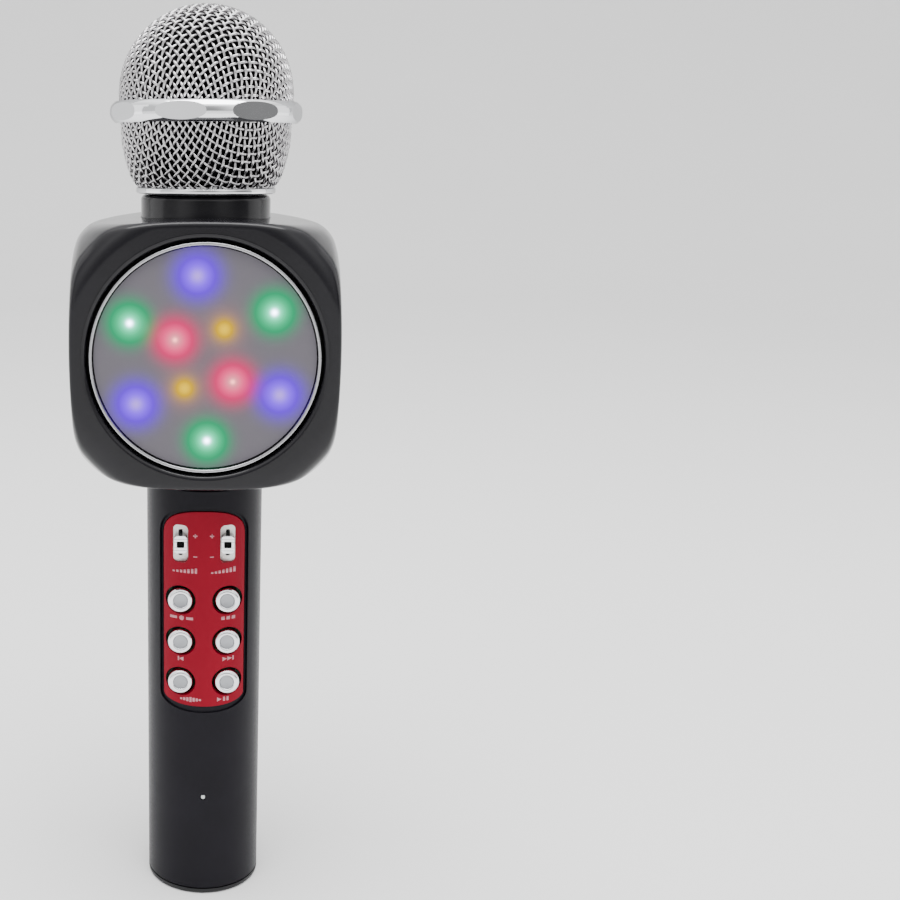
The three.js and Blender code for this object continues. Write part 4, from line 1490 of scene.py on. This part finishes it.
@dataclass
class BallHead:
    """The ball that screws off: two woven halves, the faceted band, the base ring and the foam."""

    dome_radius: float = 24.2
    dome_centre: float = 231.3
    band_low: float = field(default_factory=lambda: node_box("anti_roll_band")[0].z)
    band_high: float = field(default_factory=lambda: node_box("anti_roll_band")[1].z)
    band_radius: float = 26.2
    band_flat: float = 25.3
    weave_depth: float = 1.15
    flats: int = 8
    flat_phase: float = -15.0
    basket: tuple[Point2, ...] = (
        (18.4, 206.9), (19.1, 207.4), (20.4, 208.8), (21.4, 210.5), (22.2, 212.8), (22.9, 215.4),
        (23.45, 218.0), (23.7, 220.8), (23.75, 223.9),
    )

    def build(self) -> None:
        """Make every piece of the ball."""
        self.build_weave()
        self.build_band()
        self.build_inside()
        self.build_ring()

    def dome_path(self, travelled: float) -> tuple[float, float, float, float]:
        """Follow the dome from its pole down to the band.

        Args:
            travelled: the distance from the pole along the surface.

        Returns:
            Radius, height and the outward direction's two parts.
        """
        radius = self.dome_radius - self.weave_depth
        quarter = radius * pi / 2
        if travelled > quarter:
            return (radius, self.dome_centre - (travelled - quarter), 1.0, 0.0)
        turn = travelled / radius
        return (radius * sin(turn), self.dome_centre + radius * cos(turn), sin(turn), cos(turn))

    def basket_path(self, travelled: float) -> tuple[float, float, float, float]:
        """Follow the lower half from the base ring up to the band.

        Args:
            travelled: the distance from the sheet's middle.

        Returns:
            Radius, height and the outward direction's two parts.
        """
        left = travelled - self.basket[0][0]
        for (r0, z0), (r1, z1) in zip(self.basket, self.basket[1:]):
            length = hypot(r1 - r0, z1 - z0)
            if left <= length or (r1, z1) == self.basket[-1]:
                share = left / length
                out, up = (z1 - z0) / length, -(r1 - r0) / length
                radius = r0 + (r1 - r0) * share - self.weave_depth * out
                return (radius, z0 + (z1 - z0) * share, out, up)
            left -= length
        raise ValueError("the basket has no outline")

    def build_weave(self) -> None:
        """Weave both halves."""
        quarter = (self.dome_radius - self.weave_depth) * pi / 2
        skirt = self.dome_centre - self.band_high + 1.0
        WovenHalf("dome_weave", "windscreen_dome", self.dome_path, 0.0, quarter + skirt).build()
        lengths = [hypot(b[0] - a[0], b[1] - a[1]) for a, b in zip(self.basket, self.basket[1:])]
        start = self.basket[0][0]
        end = start + sum(lengths) + 0.6
        WovenHalf("basket_weave", "windscreen_basket", self.basket_path, start, end).build()

    def build_band(self) -> None:
        """Make the chrome band: a crowned ring with a row of flats cut on it."""
        middle = (self.band_low + self.band_high) / 2
        half = (self.band_high - self.band_low) / 2
        crown = [
            (self.band_radius - 1.5 * abs(sin(radians(a))) ** 2.6, middle + half * sin(radians(a)))
            for a in range(-90, 91, 10)
        ]
        profile = [(22.9, self.band_low), *crown, (22.9, self.band_high)]
        band = Bench.turned("faceted_band", profile, steps=256)
        corner = self.band_flat / cos(pi / self.flats)
        mesh = bmesh.new()
        bmesh.ops.create_cone(
            mesh, cap_ends=True, segments=self.flats, radius1=corner, radius2=corner, depth=30,
            matrix=Matrix.Translation((0, 0, middle))
            @ Matrix.Rotation(radians(self.flat_phase + 180 / self.flats), 4, "Z"),
        )
        Bench.carve(band, Bench.hold(mesh, "facets"), Cut.KEEP_COMMON)
        Bench.keep_creases(band, 9)
        Bench.hand_over(band, Coat.CHROME, "chrome_trim", Body.HEAD, "anti_roll_band")

    def build_inside(self) -> None:
        """Make the foam lining."""
        outer = self.dome_radius - 1.9
        middle = (0.0, self.dome_centre)
        profile = [
            *arc(middle, outer, 90, 0, 9),
            (22.0, 224.0), (21.5, 218.0), (20.2, 212.6), (18.3, 212.6), (18.6, 218.0), (19.0, 224.0),
            *arc(middle, outer - 3.2, 0, 90, 9),
        ]
        foam = Bench.turned("foam_lining", profile, steps=96)
        Bench.hand_over(foam, Coat.FOAM, "acoustic_foam", Body.HEAD, "windscreen_foam")
        skirt = [(17.7, 207.3), (18.9, 209.4), (19.8, 212.5), (18.4, 212.5), (17.7, 209.6)]
        lining = Bench.turned("foam_skirt", skirt, steps=96)
        Bench.hand_over(lining, Coat.FOAM, "acoustic_foam", Body.HEAD)

    def build_ring(self) -> None:
        """Make the chrome base ring that screws on to the neck."""
        low, high = node_box("windscreen_base_ring")
        flange = 206.9
        profile = [
            (15.9, low.z), (18.5, low.z), *arc((18.7, low.z + 0.5), 0.5, 290, 360, 4),
            *arc((18.8, flange - 0.4), 0.4, 0, 90, 5), (17.4, flange), (17.4, high.z), (15.9, high.z),
        ]
        Bench.lathe(
            "base_ring", profile, Coat.CHROME, "chrome_trim", Body.THREAD_RING, "windscreen_base_ring",
            steps=192, crease=40,
        )


@dataclass
class Neck:
    """The collar on the box, the threaded sleeve and the capsule inside the ball."""

    def build(self) -> None:
        """Make every turned piece from the neck up to the capsule."""
        low, high = node_box("neck_collar")
        collar = [
            (14.6, low.z), (15.9, low.z), (15.9, 198.5), (17.9, 198.5),
            *arc((16.4, high.z - 1.5), 1.5, 0, 90, 8), (14.6, high.z),
        ]
        post = node_box("capsule_post")
        cradle = node_box("capsule_cradle")
        capsule = node_box("microphone_capsule")
        thread = [(15.35 + 0.25 * (i % 2), 205.6 + 0.375 * i) for i in range(18)]
        pieces: list[tuple[str, list[Point2], Finish, str]] = [
            ("neck_collar", collar, Coat.GLOSS_BLACK, "box_gloss_black"),
            (
                "neck_thread",
                [(13.6, 200), (14.3, 200), (14.3, 205.3), *thread, (13.6, 212.0)],
                Coat.DARK_STEEL, "steel_hardware",
            ),
            (
                "capsule_post",
                [(11.2, post[0].z), (13.2, post[0].z), (13.2, post[1].z), (11.2, post[1].z)],
                Coat.PLASTIC, "dark_plastic",
            ),
            (
                "capsule_cradle",
                [
                    (9.4, cradle[0].z), *arc((12.6, cradle[0].z + 1), 1, 270, 360, 4),
                    *arc((12.6, cradle[1].z - 1), 1, 0, 90, 4), (9.4, cradle[1].z),
                ],
                Coat.RUBBER, "soft_rubber",
            ),
            (
                "microphone_capsule",
                [
                    (0, capsule[0].z), (9.1, capsule[0].z), (9.1, 224.4), (10.4, 224.4), (10.4, 232.4),
                    *arc((8.6, 232.4), 1.8, 0, 80, 5), (0, capsule[1].z),
                ],
                Coat.STEEL, "steel_hardware",
            ),
        ]
        for name, profile, finish, slot in pieces:
            Bench.lathe(name + "_turned", profile, finish, slot, Body.ENCLOSURE, name, steps=160, crease=40)


# ---- pieces kept from the frame -----------------------------------------------------------------


class FramePieces:
    """Dresses the frame's own nodes that stay in sight or inside."""

    FINISHES = {
        "screw": Coat.STEEL,
        "switch": Coat.PLASTIC,
        "potentiometer": Coat.STEEL,
        "board": Coat.BOARD,
        "battery_cell": Coat.WRAP,
        "battery_contact": Coat.BRASS,
        "charge_port": Coat.STEEL,
        "audio_jack": Coat.PLASTIC,
    }

    def dress(self) -> None:
        """Give each kept node the finish of the first word that its name holds."""
        for name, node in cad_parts.items():
            fitting = (finish for word, finish in self.FINISHES.items() if word in name)
            finish = next(fitting, Coat.PLASTIC)
            node.data.materials.clear()
            node.data.materials.append(finish.material())


# ---- studio -------------------------------------------------------------------------------------


@dataclass
class Studio:
    """The pale floor, the soft lights and the camera."""

    distance: float = 360.0
    eye: float = 216.4
    pitch: float = 13.1
    roll: float = 0.27
    focal: float = 51.2
    shift: Point2 = (0.2726, -0.0004)
    sweep_start: float = 1500.0
    sweep_radius: float = 1200.0
    reach: float = 4000.0
    front_dip: tuple[float, float, Point2] = (0.42, 2.2, (-0.98, -0.70))
    side_dip: tuple[float, float, Point2] = (1.0, 0.4, (0.5, 0.85))
    flag_dip: tuple[float, float, Point2] = (1.0, 0.29, (0.78, 0.97))
    flag_way: tuple[float, float, float] = (0.84, -0.50, -0.2)

    def build_floor(self) -> None:
        """Lay the floor, which sweeps up behind the microphone into a wall."""
        start, radius = self.sweep_start, self.sweep_radius
        sweep = arc((start, radius - 0.05), radius, 270, 360, 24)
        curve = [(-self.reach, -0.05), *sweep, (start + radius, self.reach)]
        mesh = bmesh.new()
        rows = [[mesh.verts.new((x, y, z)) for y, z in curve] for x in (-self.reach, self.reach)]
        for index in range(len(curve) - 1):
            mesh.faces.new([rows[0][index], rows[1][index], rows[1][index + 1], rows[0][index + 1]])
        floor = Bench.hold(mesh, "floor")
        floor.data.materials.append(Coat.FLOOR.material())

    def build_lights(self) -> None:
        """Hang the softboxes and set the surrounding light."""
        lights = [
            ("left_softbox", (-0.95, 0.12, 0.3), (0.6, 1.1), 2.2),
            ("right_softbox", (0.95, 0.12, 0.3), (0.6, 1.1), 2.0),
            ("top_softbox", (0.0, -0.15, 1.05), (0.8, 0.6), 12.0),
        ]
        for name, place, size, watts in lights:
            light = bpy.data.lights.new(name, "AREA")
            light.shape = "RECTANGLE"
            light.size, light.size_y = size
            light.energy = watts
            lamp = bpy.data.objects.new(name, light)
            lamp.location = place
            lamp.rotation_euler = (Vector((0, 0, 0.15)) - Vector(place)).to_track_quat("-Z", "Y").to_euler()
            bpy.context.scene.collection.objects.link(lamp)
        world = bpy.data.worlds.new("studio_light")
        world.use_nodes = True
        graph = Graph(world.node_tree, "Background")
        where = graph.add("TexCoord").outputs["Generated"]
        parts = graph.add("SeparateXYZ")
        graph.join(where, parts.inputs[0])
        flag = graph.add("VectorMath", operation="DOT_PRODUCT")
        flag.inputs[1].default_value = self.flag_way
        graph.join(where, flag.inputs[0])
        front = graph.span(parts.outputs["Y"], *self.front_dip)
        sides = graph.span(graph.math("ABSOLUTE", parts.outputs["X"]), *self.side_dip)
        flagged = graph.span(flag.outputs["Value"], *self.flag_dip)
        graph.set("Strength", graph.math("MULTIPLY", graph.math("MULTIPLY", front, sides), flagged))
        graph.fix("Color", (1.0, 1.0, 1.0, 1.0))
        bpy.context.scene.world = world

    def build_camera(self) -> None:
        """Set the camera in front of the axis, level with the ball's lower half, tipped down."""
        lens = bpy.data.cameras.new("camera")
        lens.lens = self.focal
        lens.sensor_width = 36.0
        lens.shift_x, lens.shift_y = self.shift
        lens.clip_start = 0.01
        camera = bpy.data.objects.new("camera", lens)
        camera.location = (0.0, -self.distance * MM, self.eye * MM)
        tip = Matrix.Rotation(radians(90 - self.pitch), 3, "X")
        camera.rotation_euler = (tip @ Matrix.Rotation(radians(self.roll), 3, "Z")).to_euler()
        bpy.context.scene.collection.objects.link(camera)
        bpy.context.scene.camera = camera


def main() -> None:
    """Build the studio and every sub-assembly; each piece's face count is logged as it is handed over."""
    logging.basicConfig(level=logging.INFO, format="%(name)s: %(message)s")
    studio = Studio()
    studio.build_camera()
    studio.build_floor()
    studio.build_lights()
    FramePieces().dress()
    for assembly in (SpeakerBox(), ControlHandle(), BallHead(), Neck()):
        assembly.build()


if __name__ == "__main__":
    main()
